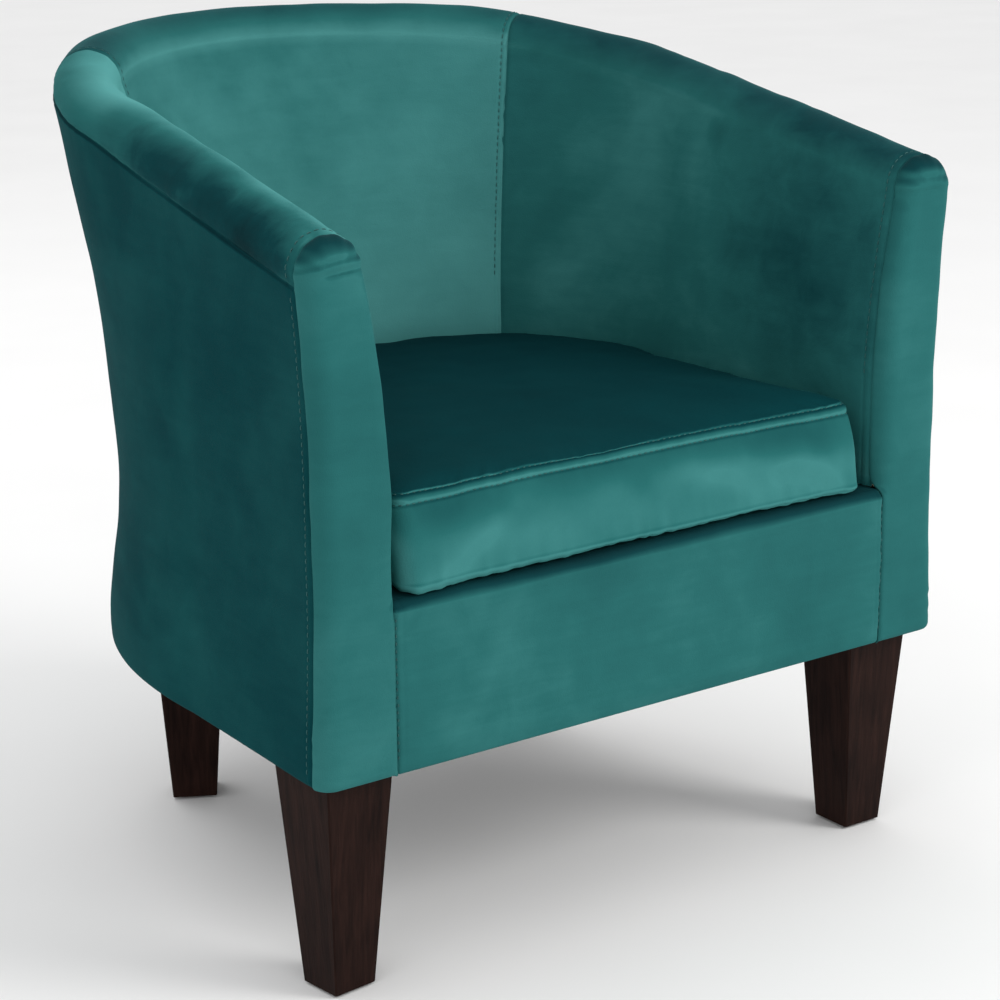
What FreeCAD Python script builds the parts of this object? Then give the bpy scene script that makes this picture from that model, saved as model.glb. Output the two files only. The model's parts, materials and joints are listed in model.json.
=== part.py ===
import FreeCAD, Part
import os
import math

V = FreeCAD.Vector
os.makedirs("parts", exist_ok=True)

# ---------------------------------------------------------------- dimensions (mm)
# Axes while modelling: +X to the sitter's left-hand side as seen from the front
# (viewer's right), -Y the front, +Z up, floor at z = 0. Everything is shifted
# at the end so that the origin is under the centre of the overall box.
FRONT_Y = -301.6        # front plane of the arm panels and the front rail
BODY_Z0 = 192.0         # underside of the upholstered body
WAIST_Z = 345.0         # height where the outer wall is narrowest
SEAT_Z = 416.0          # height where the seat cushion meets the inner wall
DECK_Z = 334.0          # underside of the seat cushion
TURN_Y = 52.0           # the walls run straight up to here, then turn round

# half outlines in plan: front half width, half width where the curve starts,
# y of that start, y of the back, exponent of the curve
BASE = (331.0, 317.8, -81.5, 297.8, 2.24)
SEAT = (256.5, 243.0, -30.0, 191.0, 2.30)
RIM = (306.0, 287.4, 52.0, 324.0, 1.89)
CUSHION = (252.0, 243.0, -30.0, 191.0, 2.30)   # the cushion leaves more room at the front of the arms

RIM_R = 28.5            # radius of the rolled rim
# height of the rim's centre line against the share of its half length
RIM_T = (0.0, 0.20, 0.40, 0.55, 0.70, 0.85, 1.0)
RIM_Z = (591.6, 623.4, 653.2, 671.2, 688.0, 693.8, 695.6)

SEAM_ANGLE = 31.0       # inside and outside seams between arm and back panels
WAIST_FRONT, WAIST_BACK = 5.5, 12.9
OUT_FRONT, OUT_BACK = 2.6, 1.78     # how late the outer wall flares out to the rim
IN_FRONT, IN_BACK = 1.7, 1.4        # the same for the inner wall

COVER_T = 1.8           # velvet with its backing
GAP = 0.5               # slack between two curved layers
BOARD_GAP = 1.2         # slack between the wadding and the board it is glued to
WAD_T = 4.0             # wadding under the outside cover
BOARD_T = 2.5           # fibreboard liners
FOAM_T = 22.0           # foam on the inner wall
FRAME_IN = 29.9         # from the inner wall face to the back of the inner board

LEG_H = 190.4           # top of the legs
LEG_TOP, LEG_FOOT = 67.4, 41.6
GLIDE_T = 2.0
FRONT_LEG = (282.6, -244.4)
REAR_LEG = (166.4, 186.9)
LEG_TURN = {"leg_front_left": 6.0, "leg_front_right": -1.0,
            "leg_rear_left": -29.0, "leg_rear_right": 29.0}

RING_T = 18.0
RING_LOW_Z = BODY_Z0 + 2.3
RING_TOP_Z = 296.0
RING_W = 72.0

BOLT_R = 3.95
NUT_BORE_R = 4.0
NUT_BARREL_R = 5.4
RING_HOLE_R = 5.5

CUSHION_GAP = 1.4       # cushion to the inner wall
CUSHION_TOP = 414.0
CUSHION_FRONT_Y = -303.0
CUSHION_LIFT = 410.0

SPRINGS_X = (-168.0, -84.0, 0.0, 84.0, 168.0)
WIRE_R = 1.9


# ---------------------------------------------------------------- plan outlines
def half_x(o, y):
    wf, wm, ym, yb, n = o
    if y <= ym:
        return wf + (wm - wf) * (y - FRONT_Y) / (ym - FRONT_Y)
    v = min(max((y - ym) / (yb - ym), 0.0), 1.0)
    return wm * (1.0 - v ** n) ** (1.0 / n)


def reach(o, u):
    """Distance from the middle line to outline o at station u.
    u 0..1 runs along the straight side, u 1..2 turns from the side to the back."""
    if u <= 1.0:
        return half_x(o, FRONT_Y + u * (TURN_Y - FRONT_Y))
    a = math.radians((u - 1.0) * 90.0)
    c, s = math.cos(a), math.sin(a)
    lo, hi = 0.0, 600.0
    for _ in range(50):
        m = 0.5 * (lo + hi)
        x, y = m * c, TURN_Y + m * s
        if y < o[3] and x < half_x(o, y):
            lo = m
        else:
            hi = m
    return 0.5 * (lo + hi)


def spot(u, side, s, z):
    if u <= 1.0:
        return V(side * s, FRONT_Y + u * (TURN_Y - FRONT_Y), z)
    a = math.radians((u - 1.0) * 90.0)
    return V(side * s * math.cos(a), TURN_Y + s * math.sin(a), z)


def _lengths():
    us = [2.0 * i / 240 for i in range(241)]
    pts = [spot(u, 1, reach(RIM, u), 0.0) for u in us]
    d = [0.0]
    for a, b in zip(pts, pts[1:]):
        d.append(d[-1] + a.distanceToPoint(b))
    return us, [x / d[-1] for x in d]


US, TS = _lengths()


def share(u):
    i = min(int(u / 2.0 * 240), 239)
    f = (u - US[i]) / (US[i + 1] - US[i])
    return TS[i] + f * (TS[i + 1] - TS[i])


def rim_z(u):
    t = share(u)
    n = len(RIM_T)
    h = [RIM_T[i + 1] - RIM_T[i] for i in range(n - 1)]
    g = [(RIM_Z[i + 1] - RIM_Z[i]) / h[i] for i in range(n - 1)]
    m = [g[0]] + [0.5 * (g[i] + g[i + 1]) for i in range(n - 2)] + [0.0]
    for i in range(n - 1):
        if t <= RIM_T[i + 1] or i == n - 2:
            x = min(max((t - RIM_T[i]) / h[i], 0.0), 1.0)
            a, b = RIM_Z[i], RIM_Z[i + 1]
            return ((2 * x ** 3 - 3 * x ** 2 + 1) * a + (x ** 3 - 2 * x ** 2 + x) * h[i] * m[i]
                    + (-2 * x ** 3 + 3 * x ** 2) * b + (x ** 3 - x ** 2) * h[i] * m[i + 1])


def blend(u, front, back):
    x = min(max(share(u) / 0.5, 0.0), 1.0)
    return front + (back - front) * (3 * x * x - 2 * x ** 3)


def waist(u):
    return blend(u, WAIST_FRONT, WAIST_BACK)


def outer(u, z):
    sb, zr = reach(BASE, u), rim_z(u)
    w = waist(u)
    if z <= WAIST_Z:
        v = (WAIST_Z - z) / (WAIST_Z - BODY_Z0)
        return sb - w * 0.5 * (1 + math.cos(math.pi * min(v, 1.0)))
    t = min((z - WAIST_Z) / (zr - WAIST_Z), 1.0)
    return sb - w + (reach(RIM, u) + RIM_R - sb + w) * t ** blend(u, OUT_FRONT, OUT_BACK)


def inner(u, z):
    si, zr = reach(SEAT, u), rim_z(u)
    if z <= SEAT_Z:
        return si
    t = min((z - SEAT_Z) / (zr - SEAT_Z), 1.0)
    return si + (reach(RIM, u) - RIM_R - si) * t ** blend(u, IN_FRONT, IN_BACK)


# ---------------------------------------------------------------- stations
SEAM_U = 1.0 + SEAM_ANGLE / 90.0


def run(u0, u1, side):
    """Stations from u0 to u1 on one side, both ends included."""
    grid = [0.0, 0.17, 0.34, 0.5, 0.67, 0.84, 1.0, 1.12, 1.24, 1.36, 1.48, 1.6, 1.72, 1.86, 2.0]
    lo, hi = min(u0, u1), max(u0, u1)
    mid = [x for x in grid if lo + 0.03 < x < hi - 0.03]
    if lo < SEAM_U - 0.1 and hi > SEAM_U + 0.1:
        mid = sorted([x for x in mid if abs(x - SEAM_U) > 0.03] + [SEAM_U])
    g = [lo] + mid + [hi]
    if u0 > u1:
        g.reverse()
    return [(x, side) for x in g]


def around(u0):
    return run(u0, 2.0, -1) + run(2.0, u0, 1)[1:]


SLIT = 0.0022           # half the slit between two neighbouring panels
U_COVER = (COVER_T + GAP) / (TURN_Y - FRONT_Y)
U_PAD = 10.8 / (TURN_Y - FRONT_Y)
U_BEHIND = 33.4 / (TURN_Y - FRONT_Y)   # first station behind the arm posts


def back_span():
    return run(SEAM_U + SLIT, 2.0, -1) + run(2.0, SEAM_U + SLIT, 1)[1:]


def side_span(side, u0):
    return run(u0, SEAM_U - SLIT, side)


# ---------------------------------------------------------------- solids
def edge(pts):
    if len(pts) == 2:
        return Part.LineSegment(pts[0], pts[1]).toShape()
    b = Part.BSplineCurve()
    b.interpolate(pts)
    return b.toShape()


def ring(chains):
    """Closed wire from chains of points that meet end to start."""
    return Part.Wire([edge(c) for c in chains])


def loft(wires):
    s = Part.makeLoft(wires, True, False)
    if s.ShapeType != "Solid":
        s = s.Solids[0]
    if s.Volume < 0:
        s.reverse()
    return s


def steps(a, b, n):
    return [a + (b - a) * i / n for i in range(n + 1)]


def arch(u, r, a0, a1, n=8):
    """Points (s, z) on the rim's arch, angle 0 outward, 180 inward."""
    c, zr = reach(RIM, u), rim_z(u)
    return [(c + r * math.cos(math.radians(a)), zr + r * math.sin(math.radians(a)))
            for a in steps(a0, a1, n)]


def wall(spans, o_in, o_out, z0, top_drop, from_inner=False, n=7):
    """Slab that follows the outer wall face (or the inner one) between two depths,
    from z0 up to rim centre height minus top_drop."""
    ws = []
    for u, side in spans:
        z1 = rim_z(u) - top_drop
        zs = steps(z0, z1, n)
        if from_inner:
            a = [spot(u, side, inner(u, z) + o_in, z) for z in zs]
            b = [spot(u, side, inner(u, z) + o_out, z) for z in zs]
        else:
            a = [spot(u, side, outer(u, z) - o_in, z) for z in zs]
            b = [spot(u, side, outer(u, z) - o_out, z) for z in zs]
        b.reverse()
        ws.append(ring([a, [a[-1], b[0]], b, [b[-1], a[0]]]))
    return loft(ws)


def inside_skin(spans):
    """Inside cover: up the inner wall, over the rolled rim, ending at the outer seam."""
    ws = []
    for u, side in spans:
        zr = rim_z(u)
        zs = steps(DECK_Z + 0.6, zr, 6)
        f = [(inner(u, z), z) for z in zs[:-1]]
        g = [(inner(u, z) + COVER_T, z) for z in zs[:-1]]
        fa = arch(u, RIM_R, 180, 0)
        ga = arch(u, RIM_R - COVER_T, 180, 0)
        f = [spot(u, side, s, z) for s, z in f]
        g = [spot(u, side, s, z) for s, z in g]
        fa = [spot(u, side, s, z) for s, z in fa]
        ga = [spot(u, side, s, z) for s, z in ga]
        up_f, up_g = f + [fa[0]], g + [ga[0]]
        up_g.reverse()
        ga.reverse()
        ws.append(ring([up_f, fa, [fa[-1], ga[0]], ga, up_g, [up_g[-1], up_f[0]]]))
    return loft(ws)


def foam_pad(spans):
    """Inner wall foam with its cap over the top rail."""
    k = COVER_T + GAP
    ws = []
    for u, side in spans:
        zr = rim_z(u)
        zc = zr - 12.0
        zs = steps(DECK_Z + 1.0, zr, 6)
        up = [spot(u, side, inner(u, z) + k, z) for z in zs[:-1]]
        cap = [spot(u, side, s, z) for s, z in arch(u, RIM_R - k, 180, 0)]
        up.append(cap[0])
        drop = spot(u, side, outer(u, zc) - k, zc)
        zb = steps(DECK_Z + 1.0, zc, 6)
        back = [spot(u, side, inner(u, z) + k + FOAM_T, z) for z in zb]
        back.reverse()
        ws.append(ring([up, cap, [cap[-1], drop], [drop, back[0]], back, [back[-1], up[0]]]))
    return loft(ws)


def rail_loft(spans):
    """Bent top rail inside the rim, under the foam cap."""
    ws = []
    for u, side in spans:
        zr = rim_z(u)
        z1, z0 = zr - 12.6, zr - 50.0
        k = COVER_T + WAD_T + BOARD_T + 3 * GAP + BOARD_GAP + 2.6
        p = [spot(u, side, inner(u, z0) + FRAME_IN, z0), spot(u, side, outer(u, z0) - k, z0),
             spot(u, side, outer(u, z1) - k, z1), spot(u, side, inner(u, z1) + FRAME_IN, z1)]
        ws.append(ring([[p[0], p[1]], [p[1], p[2]], [p[2], p[3]], [p[3], p[0]]]))
    return loft(ws)


def plan_points(f, u0=0.0, n1=5, n2=9):
    """Open U of points from the left front round the back to the right front."""
    us = steps(u0, 1.0, n1) + steps(1.0, 2.0, n2)[1:]
    left = [spot(u, -1, f(u), 0.0) for u in us]
    right = [spot(u, 1, f(u), 0.0) for u in us]
    right.reverse()
    return left + right[1:]


def d_face(f, y_front, z):
    """D-shaped face: the curve f closed by a straight front at y_front."""
    uf = (y_front - FRONT_Y) / (TURN_Y - FRONT_Y)
    us = steps(max(uf, 0.0), 1.0, 5) + steps(1.0, 2.0, 9)[1:]
    left = [spot(u, -1, f(u), z) for u in us]
    if uf < 0.0:
        left[0] = V(left[0].x, y_front, z)
    right = [V(-p.x, p.y, z) for p in reversed(left)][1:]
    pts = left + right
    return Part.Face(Part.Wire([edge(pts), edge([pts[-1], pts[0]])]))


def prism(face, h):
    return face.extrude(V(0, 0, h))


def box(x0, x1, y0, y1, z0, z1):
    return Part.makeBox(x1 - x0, y1 - y0, z1 - z0, V(x0, y0, z0))


def poly_prism(pts, vec):
    return Part.Face(Part.makePolygon(pts + [pts[0]])).extrude(vec)


def group(solids):
    return Part.makeCompound(solids)


parts = {}


# ---------------------------------------------------------------- covers and padding
def panel_outline(inset, z0, top_inset, y):
    """Face of an arm's front panel in the plane y, right-hand side."""
    u = 0.0
    zr = rim_z(u)
    r = RIM_R - top_inset
    zs = steps(z0, zr, 7)
    up = [V(inner(u, z) + inset, y, z) for z in zs[:-1]]
    cap = [V(s, y, z) for s, z in arch(u, r, 180, 0, 10)]
    down = [V(outer(u, z) - inset, y, z) for z in reversed(zs[:-1])]
    e = [edge(up + [cap[0]]), edge(cap), edge([cap[-1]] + down), edge([down[-1], up[0]])]
    return Part.Face(Part.Wire(e))


def mirrored(s):
    return s.mirror(V(0, 0, 0), V(1, 0, 0))


panel = panel_outline(0.0, BODY_Z0, 0.0, FRONT_Y).extrude(V(0, COVER_T, 0))
parts["arm_front_cover_right"] = panel
parts["arm_front_cover_left"] = mirrored(panel)
pad = panel_outline(3.5, BODY_Z0 + 2.3, 3.5, FRONT_Y + COVER_T + GAP).extrude(V(0, 8.0, 0))
parts["arm_front_pad_right"] = pad
parts["arm_front_pad_left"] = mirrored(pad)

front_cut = box(-400, 400, FRONT_Y - 40.0, FRONT_Y + 10.8, 150.0, 800.0)
for name, side in (("left", -1), ("right", 1)):
    parts["inside_cover_" + name] = inside_skin(side_span(side, U_COVER))
    parts["arm_foam_" + name] = foam_pad(side_span(side, U_COVER)).cut(front_cut)
    parts["outside_cover_" + name] = wall(side_span(side, U_COVER), 0.0, COVER_T, BODY_Z0, 0.6)
    parts["outer_board_" + name] = wall(side_span(side, U_COVER), COVER_T + GAP + WAD_T + BOARD_GAP,
                                        COVER_T + GAP + WAD_T + BOARD_GAP + BOARD_T, BODY_Z0 + 2.6, 13.0).cut(front_cut)
parts["inside_cover_back"] = inside_skin(back_span())
parts["back_foam"] = foam_pad(back_span())
parts["outside_cover_back"] = wall(back_span(), 0.0, COVER_T, BODY_Z0, 0.6)
parts["outer_board_back"] = wall(back_span(), COVER_T + GAP + WAD_T + BOARD_GAP,
                                 COVER_T + GAP + WAD_T + BOARD_GAP + BOARD_T, BODY_Z0 + 2.6, 13.0)
for name, side in (("left", -1), ("right", 1)):
    parts["outer_wadding_" + name] = wall(side_span(side, U_COVER), COVER_T + GAP, COVER_T + GAP + WAD_T,
                                          BODY_Z0 + 2.6, 12.6).cut(front_cut)
parts["outer_wadding_back"] = wall(back_span(), COVER_T + GAP, COVER_T + GAP + WAD_T, BODY_Z0 + 2.6, 12.6)
k_in = COVER_T + GAP + FOAM_T + 2.4
parts["inner_board"] = wall(around(U_BEHIND), k_in, k_in + BOARD_T, RING_TOP_Z + RING_T + 0.5, 12.6, from_inner=True, n=10)

# ---------------------------------------------------------------- frame
parts["top_rail"] = rail_loft(around(U_BEHIND + 0.002))

LAYERS = COVER_T + WAD_T + BOARD_T + 3 * GAP + BOARD_GAP    # everything outside the timber


def low_ring_out(u):
    return min(outer(u, RING_LOW_Z), outer(u, RING_LOW_Z + RING_T)) - LAYERS - 0.3


def low_ring_in(u):
    return low_ring_out(u) - RING_W


def plate(f_out, f_in, y_front, z, t):
    a, b = d_face(f_out, y_front, z), d_face(f_in, y_front - 5.0, z - 5.0)
    return prism(a, t).cut(prism(b, t + 10.0))


RAIL_Y0 = FRONT_Y + 10.8
RAIL_T = 22.0
ring_low = plate(low_ring_out, low_ring_in, RAIL_Y0 + RAIL_T + 0.2, RING_LOW_Z, RING_T)


def top_ring_out(u):
    return min(outer(u, RING_TOP_Z), outer(u, RING_TOP_Z + RING_T)) - LAYERS - 22.0


def top_ring_in(u):
    return top_ring_out(u) - 58.0


ring_top = plate(top_ring_out, top_ring_in, RAIL_Y0 + RAIL_T + 0.2, RING_TOP_Z, RING_T)

# arm posts: plywood boards standing behind the front pads
def post(side):
    y0, z0 = RAIL_Y0, BODY_Z0 + 2.6
    z1 = rim_z(0.0) - 14.0
    zs = steps(z0, z1, 6)
    uu = 0.03
    left = [V(side * (inner(uu, z) + k_in + 0.8), y0, z) for z in zs]
    right = [V(side * (outer(uu, z) - LAYERS - 2.0), y0, z) for z in reversed(zs)]
    e = [edge(left), edge([left[-1], right[0]]), edge(right), edge([right[-1], left[0]])]
    return Part.Face(Part.Wire(e)).extrude(V(0, RAIL_T, 0))


rail_x = inner(0.03, 250.0) + k_in
front_rail = box(-rail_x, rail_x, RAIL_Y0, RAIL_Y0 + RAIL_T, BODY_Z0 + 2.6, RING_TOP_Z + RING_T)

CLEAT_D = 26.0
cleat_x = outer(0.2, RING_TOP_Z) - LAYERS - 22.0 - 58.0 - 1.0
spring_cleat = box(-cleat_x, cleat_x, RAIL_Y0 + RAIL_T + 0.2, RAIL_Y0 + RAIL_T + 0.2 + CLEAT_D, RING_TOP_Z, RING_TOP_Z + RING_T)

screws, screw_cuts = [], []


def screw(x, y, z, length):
    """Countersunk screw, head in the face at y, pointing to the back."""
    def body(r, rh, k):
        shank = Part.makeCylinder(r, length + k, V(x, y + 0.2, z), V(0, 1, 0))
        head = Part.makeCone(rh, r, 3.2 + k, V(x, y + 0.2 - k, z), V(0, 1, 0))
        return shank.fuse(head)
    screws.append(body(1.9, 3.9, 0.0).removeSplitter())
    screw_cuts.append(body(2.0, 4.1, 0.25))


for x in (-300.0, 300.0):
    screw(x, RAIL_Y0, RING_LOW_Z + RING_T / 2, 44.0)
for x in (-210.0, -90.0, 90.0, 210.0):
    screw(x, RAIL_Y0, RING_LOW_Z + RING_T / 2, 44.0)
    screw(x, RAIL_Y0, RING_TOP_Z + RING_T / 2, 44.0)
all_cuts = Part.makeCompound(screw_cuts)
front_rail = front_rail.cut(all_cuts)
ring_low = ring_low.cut(all_cuts)
ring_top = ring_top.cut(all_cuts)
spring_cleat = spring_cleat.cut(all_cuts)

legs_at = {"leg_front_left": (-FRONT_LEG[0], FRONT_LEG[1]), "leg_front_right": FRONT_LEG,
           "leg_rear_left": (-REAR_LEG[0], REAR_LEG[1]), "leg_rear_right": REAR_LEG}
bolts, nuts, glides = [], [], []
for name, (x, y) in legs_at.items():
    ring_low = ring_low.cut(Part.makeCylinder(RING_HOLE_R, RING_T + 2, V(x, y, RING_LOW_Z - 1)))

arm_posts = {}
for name, side in (("left", -1), ("right", 1)):
    # the foam and the inner board start behind the post on this side
    parts["arm_post_" + name] = post(side).cut(all_cuts)
parts["front_rail"] = front_rail
parts["lower_ring"] = ring_low
parts["upper_ring"] = ring_top
parts["spring_cleat"] = spring_cleat
parts["frame_screws"] = group(screws)

# uprights: ribs between the lower ring and the top rail, outside the upper ring
ribs = []
RIB_T = 18.0
for u in (0.42, 0.86, 1.34, 1.76):
    for side in (-1, 1):
        ws = []
        for du in (-1, 1):
            z0, z1 = RING_LOW_Z + RING_T + 0.2, rim_z(u) - 52.0
            zs = steps(z0, z1, 6)
            w = 0.5 * RIB_T * du
            z_mid = 0.5 * (z0 + z1)
            t = spot(u + 0.01, side, outer(u + 0.01, z_mid), 0) - spot(u - 0.01, side, outer(u - 0.01, z_mid), 0)
            t.normalize()
            t = t * w
            o = [spot(u, side, outer(u, z) - LAYERS - 2.2, z) + t for z in zs]
            i = [spot(u, side, max(outer(u, z) - LAYERS - 19.8, inner(u, z) + FRAME_IN + 1.0), z) + t for z in zs]
            i.reverse()
            ws.append(ring([o, [o[-1], i[0]], i, [i[-1], o[0]]]))
        ribs.append(Part.makeLoft(ws, True, True))
parts["uprights"] = group(ribs)

blocks = []
for side in (-1, 1):
    x0, y0, z0 = side * 238.0, RAIL_Y0 + RAIL_T + 0.3, RING_LOW_Z + RING_T + 0.2
    blocks.append(poly_prism([V(x0, y0, z0), V(x0 - side * 60, y0, z0), V(x0, y0 + 60, z0)], V(0, 0, 60)))
for side in (-1, 1):
    x0, y0, z0 = side * 120.0, 212.0, RING_LOW_Z + RING_T + 0.2
    blocks.append(box(min(x0, x0 - side * 26), max(x0, x0 - side * 26), 188.0, 226.0, z0, RING_TOP_Z - 0.2))
parts["corner_blocks"] = group(blocks)

# ---------------------------------------------------------------- front rail upholstery
rx = inner(0.0, 260.0) - 0.6
parts["front_rail_pad"] = box(-rx + 1.6, rx - 1.6, FRONT_Y + COVER_T + GAP, RAIL_Y0 - 0.3,
                              BODY_Z0 + 2.6, RING_TOP_Z + RING_T + 0.2)
roll_z0 = RING_TOP_Z + RING_T + 0.5
roll = box(-rx + 2.4, rx - 2.4, FRONT_Y + COVER_T + GAP, FRONT_Y + 31.0, roll_z0, DECK_Z - COVER_T - 1.0)
try:
    es = [e for e in roll.Edges
          if abs(e.CenterOfMass.y - (FRONT_Y + COVER_T + GAP)) < 0.1 and abs(e.CenterOfMass.z - (DECK_Z - COVER_T - 1.0)) < 0.1]
    roll = roll.makeFillet(8.0, es)
except Exception:
    pass
parts["front_edge_roll"] = roll
prof = [V(-rx, FRONT_Y, BODY_Z0), V(-rx, FRONT_Y, DECK_Z - 10.0), V(-rx, FRONT_Y + 10.0, DECK_Z - 0.5),
        V(-rx, FRONT_Y + 46.0, DECK_Z - 0.5), V(-rx, FRONT_Y + 46.0, DECK_Z - 0.5 - COVER_T * 0.5)]
t = COVER_T
a = math.sqrt(0.5)
mid_out = V(-rx, FRONT_Y + 10.0 * (1 - a), DECK_Z - 10.5 + 10.0 * a)
mid_in = V(-rx, FRONT_Y + 10.0 - (10.0 - t) * a, DECK_Z - 10.5 + (10.0 - t) * a)
e = [edge([V(-rx, FRONT_Y, BODY_Z0), V(-rx, FRONT_Y, DECK_Z - 10.5)]),
     Part.Arc(V(-rx, FRONT_Y, DECK_Z - 10.5), mid_out, V(-rx, FRONT_Y + 10.0, DECK_Z - 0.5)).toShape(),
     edge([V(-rx, FRONT_Y + 10.0, DECK_Z - 0.5), V(-rx, FRONT_Y + 47.0, DECK_Z - 0.5)]),
     edge([V(-rx, FRONT_Y + 47.0, DECK_Z - 0.5), V(-rx, FRONT_Y + 47.0, DECK_Z - 0.5 - t)]),
     edge([V(-rx, FRONT_Y + 47.0, DECK_Z - 0.5 - t), V(-rx, FRONT_Y + 10.0, DECK_Z - 0.5 - t)]),
     Part.Arc(V(-rx, FRONT_Y + 10.0, DECK_Z - 0.5 - t), mid_in, V(-rx, FRONT_Y + t, DECK_Z - 10.5)).toShape(),
     edge([V(-rx, FRONT_Y + t, DECK_Z - 10.5), V(-rx, FRONT_Y + t, BODY_Z0)]),
     edge([V(-rx, FRONT_Y + t, BODY_Z0), V(-rx, FRONT_Y, BODY_Z0)])]
parts["front_rail_cover"] = Part.Face(Part.Wire(e)).extrude(V(2 * rx, 0, 0))

# ---------------------------------------------------------------- seat deck
deck_y0 = FRONT_Y + 47.6
felt_z = RING_TOP_Z + RING_T + 2 * WIRE_R + 2.1


def deck_in(u):
    return inner(u, DECK_Z) - 1.0


parts["spring_felt"] = prism(d_face(lambda u: deck_in(u) - 3.0, deck_y0, felt_z), 2.0)
parts["deck_pad"] = prism(d_face(lambda u: deck_in(u) - 1.0, deck_y0, felt_z + 2.3), DECK_Z - 2.3 - felt_z - 2.3)
parts["deck_cloth"] = prism(d_face(deck_in, deck_y0, DECK_Z - 1.8), 1.2)

springs, clips = [], []
spring_z = RING_TOP_Z + RING_T + 0.7 + WIRE_R
for x0 in SPRINGS_X:
    y0 = RAIL_Y0 + RAIL_T + 12.0
    lim = top_ring_in(1.0 + (math.degrees(math.atan2(1.0, abs(x0) / 160.0 + 1e-6))) / 90.0)
    # rear end sits on the ring
    y1 = TURN_Y + math.sqrt(max(lim ** 2 - x0 ** 2, 0.0)) + 7.0
    pts = []
    n = 13
    amp = 21.0
    pts.append(V(x0 - 14.0, y0, spring_z))
    pts.append(V(x0 + 8.0, y0, spring_z))
    for i in range(1, n):
        y = y0 + (y1 - y0) * i / n
        s = 1 if i % 2 else -1
        pts.append(V(x0 + s * amp, y - 5.0, spring_z))
        pts.append(V(x0 + s * amp, y + 5.0, spring_z))
    s = 1 if n % 2 else -1
    pts.append(V(x0 + s * -8.0, y1, spring_z))
    pts.append(V(x0 + s * 14.0, y1, spring_z))
    runs, path = [], []
    # rounded zigzag: straight runs joined by arcs
    r = 5.0
    cur = pts[0]
    edges = []
    for i in range(1, len(pts) - 1):
        p, q, w = pts[i - 1], pts[i], pts[i + 1]
        d1 = (p - q); l1 = d1.Length; d1.normalize()
        d2 = (w - q); l2 = d2.Length; d2.normalize()
        k = min(r, 0.42 * l1, 0.42 * l2)
        a1, a2 = q + d1 * k, q + d2 * k
        if (d1 + d2).Length < 1e-3:
            continue
        bis = d1 + d2
        bis.normalize()
        ca = math.sqrt((1 + d1.dot(d2)) / 2.0)
        sa = math.sqrt(max(1 - ca * ca, 0.0))
        rad = k * sa / ca
        cdist = rad / sa
        m = q + bis * (cdist - rad)
        if (cur - a1).Length > 1e-3:
            edges.append(Part.LineSegment(cur, a1).toShape())
        edges.append(Part.Arc(a1, m, a2).toShape())
        cur = a2
    edges.append(Part.LineSegment(cur, pts[-1]).toShape())
    w = Part.Wire(edges)
    d = (pts[1] - pts[0]); d.normalize()
    c = Part.Wire(Part.Circle(pts[0], d, WIRE_R).toShape())
    springs.append(w.makePipeShell([c], True, False))
    for yy, xx in ((y0, x0 - 5.0), (y1, x0 + 5.0 * s)):
        # clip: a folded plate over the wire, nailed to the timber
        z0 = RING_TOP_Z + RING_T + 0.2
        g = WIRE_R + 0.3
        outer_c = box(xx - 6.0, xx + 6.0, yy - g - 1.4, yy + g + 1.4, z0, spring_z + WIRE_R + 0.3 + 0.5)
        inner_c = box(xx - 7.0, xx + 7.0, yy - g, yy + g, z0 - 1.0, spring_z + WIRE_R + 0.3)
        foot = box(xx - 6.0, xx + 6.0, yy + g, yy + g + 8.5, z0, z0 + 1.2)
        if yy == y0:
            foot = box(xx - 6.0, xx + 6.0, yy - g - 8.0, yy - g, z0, z0 + 1.2)
        clips.append(outer_c.cut(inner_c).fuse(foot).removeSplitter())
parts["springs"] = group(springs)
parts["spring_clips"] = group(clips)

# ---------------------------------------------------------------- underside
dust_z = BODY_Z0 - 1.2


def dust_out(u):
    return outer(u, BODY_Z0) - 14.0


dust = prism(d_face(dust_out, FRONT_Y + 14.0, dust_z), 0.8)
for name, (x, y) in legs_at.items():
    dust = dust.cut(Part.makeCylinder(RING_HOLE_R, 10, V(x, y, dust_z - 5)))
parts["dust_cover"] = dust

hem_z = BODY_Z0


def hem_out(u):
    return outer(u, BODY_Z0 + 1.0) - COVER_T - 1.0


hem = prism(d_face(hem_out, FRONT_Y + COVER_T + 0.3, hem_z), 1.5).cut(
    prism(d_face(lambda u: hem_out(u) - 34.0, FRONT_Y + 40.0, hem_z - 5), 12.0))
for name, (x, y) in legs_at.items():
    hem = hem.cut(Part.makeCylinder(RING_HOLE_R, 10, V(x, y, hem_z - 5)))
parts["cover_hem"] = hem

staples = []
for i in range(34):
    u = 0.06 + 1.94 * (i % 17) / 16.0
    side = -1 if i < 17 else 1
    if side == 1 and abs(u - 2.0) < 1e-6:
        continue
    s = outer(u, BODY_Z0) - 22.0
    p = spot(u, side, s, dust_z)
    q = spot(min(u + 0.01, 2.0) if u < 1.99 else u - 0.01, side, s, dust_z)
    d = q - p
    if d.Length < 1e-6:
        continue
    d.normalize()
    ang = math.degrees(math.atan2(d.y, d.x))
    if any(math.hypot(p.x - x, p.y - y) < 62.0 for x, y in legs_at.values()):
        continue
    crown = box(-5.0, 5.0, -0.55, 0.55, -0.75, -0.05)
    l1 = box(-5.0, -4.3, -0.5, 0.5, -0.05, 9.0)
    l2 = box(4.3, 5.0, -0.5, 0.5, -0.05, 9.0)
    st = crown.fuse(l1).fuse(l2).removeSplitter()
    st.rotate(V(0, 0, 0), V(0, 0, 1), ang)
    st.translate(p)
    staples.append(st)
parts["staples"] = group(staples)

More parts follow.
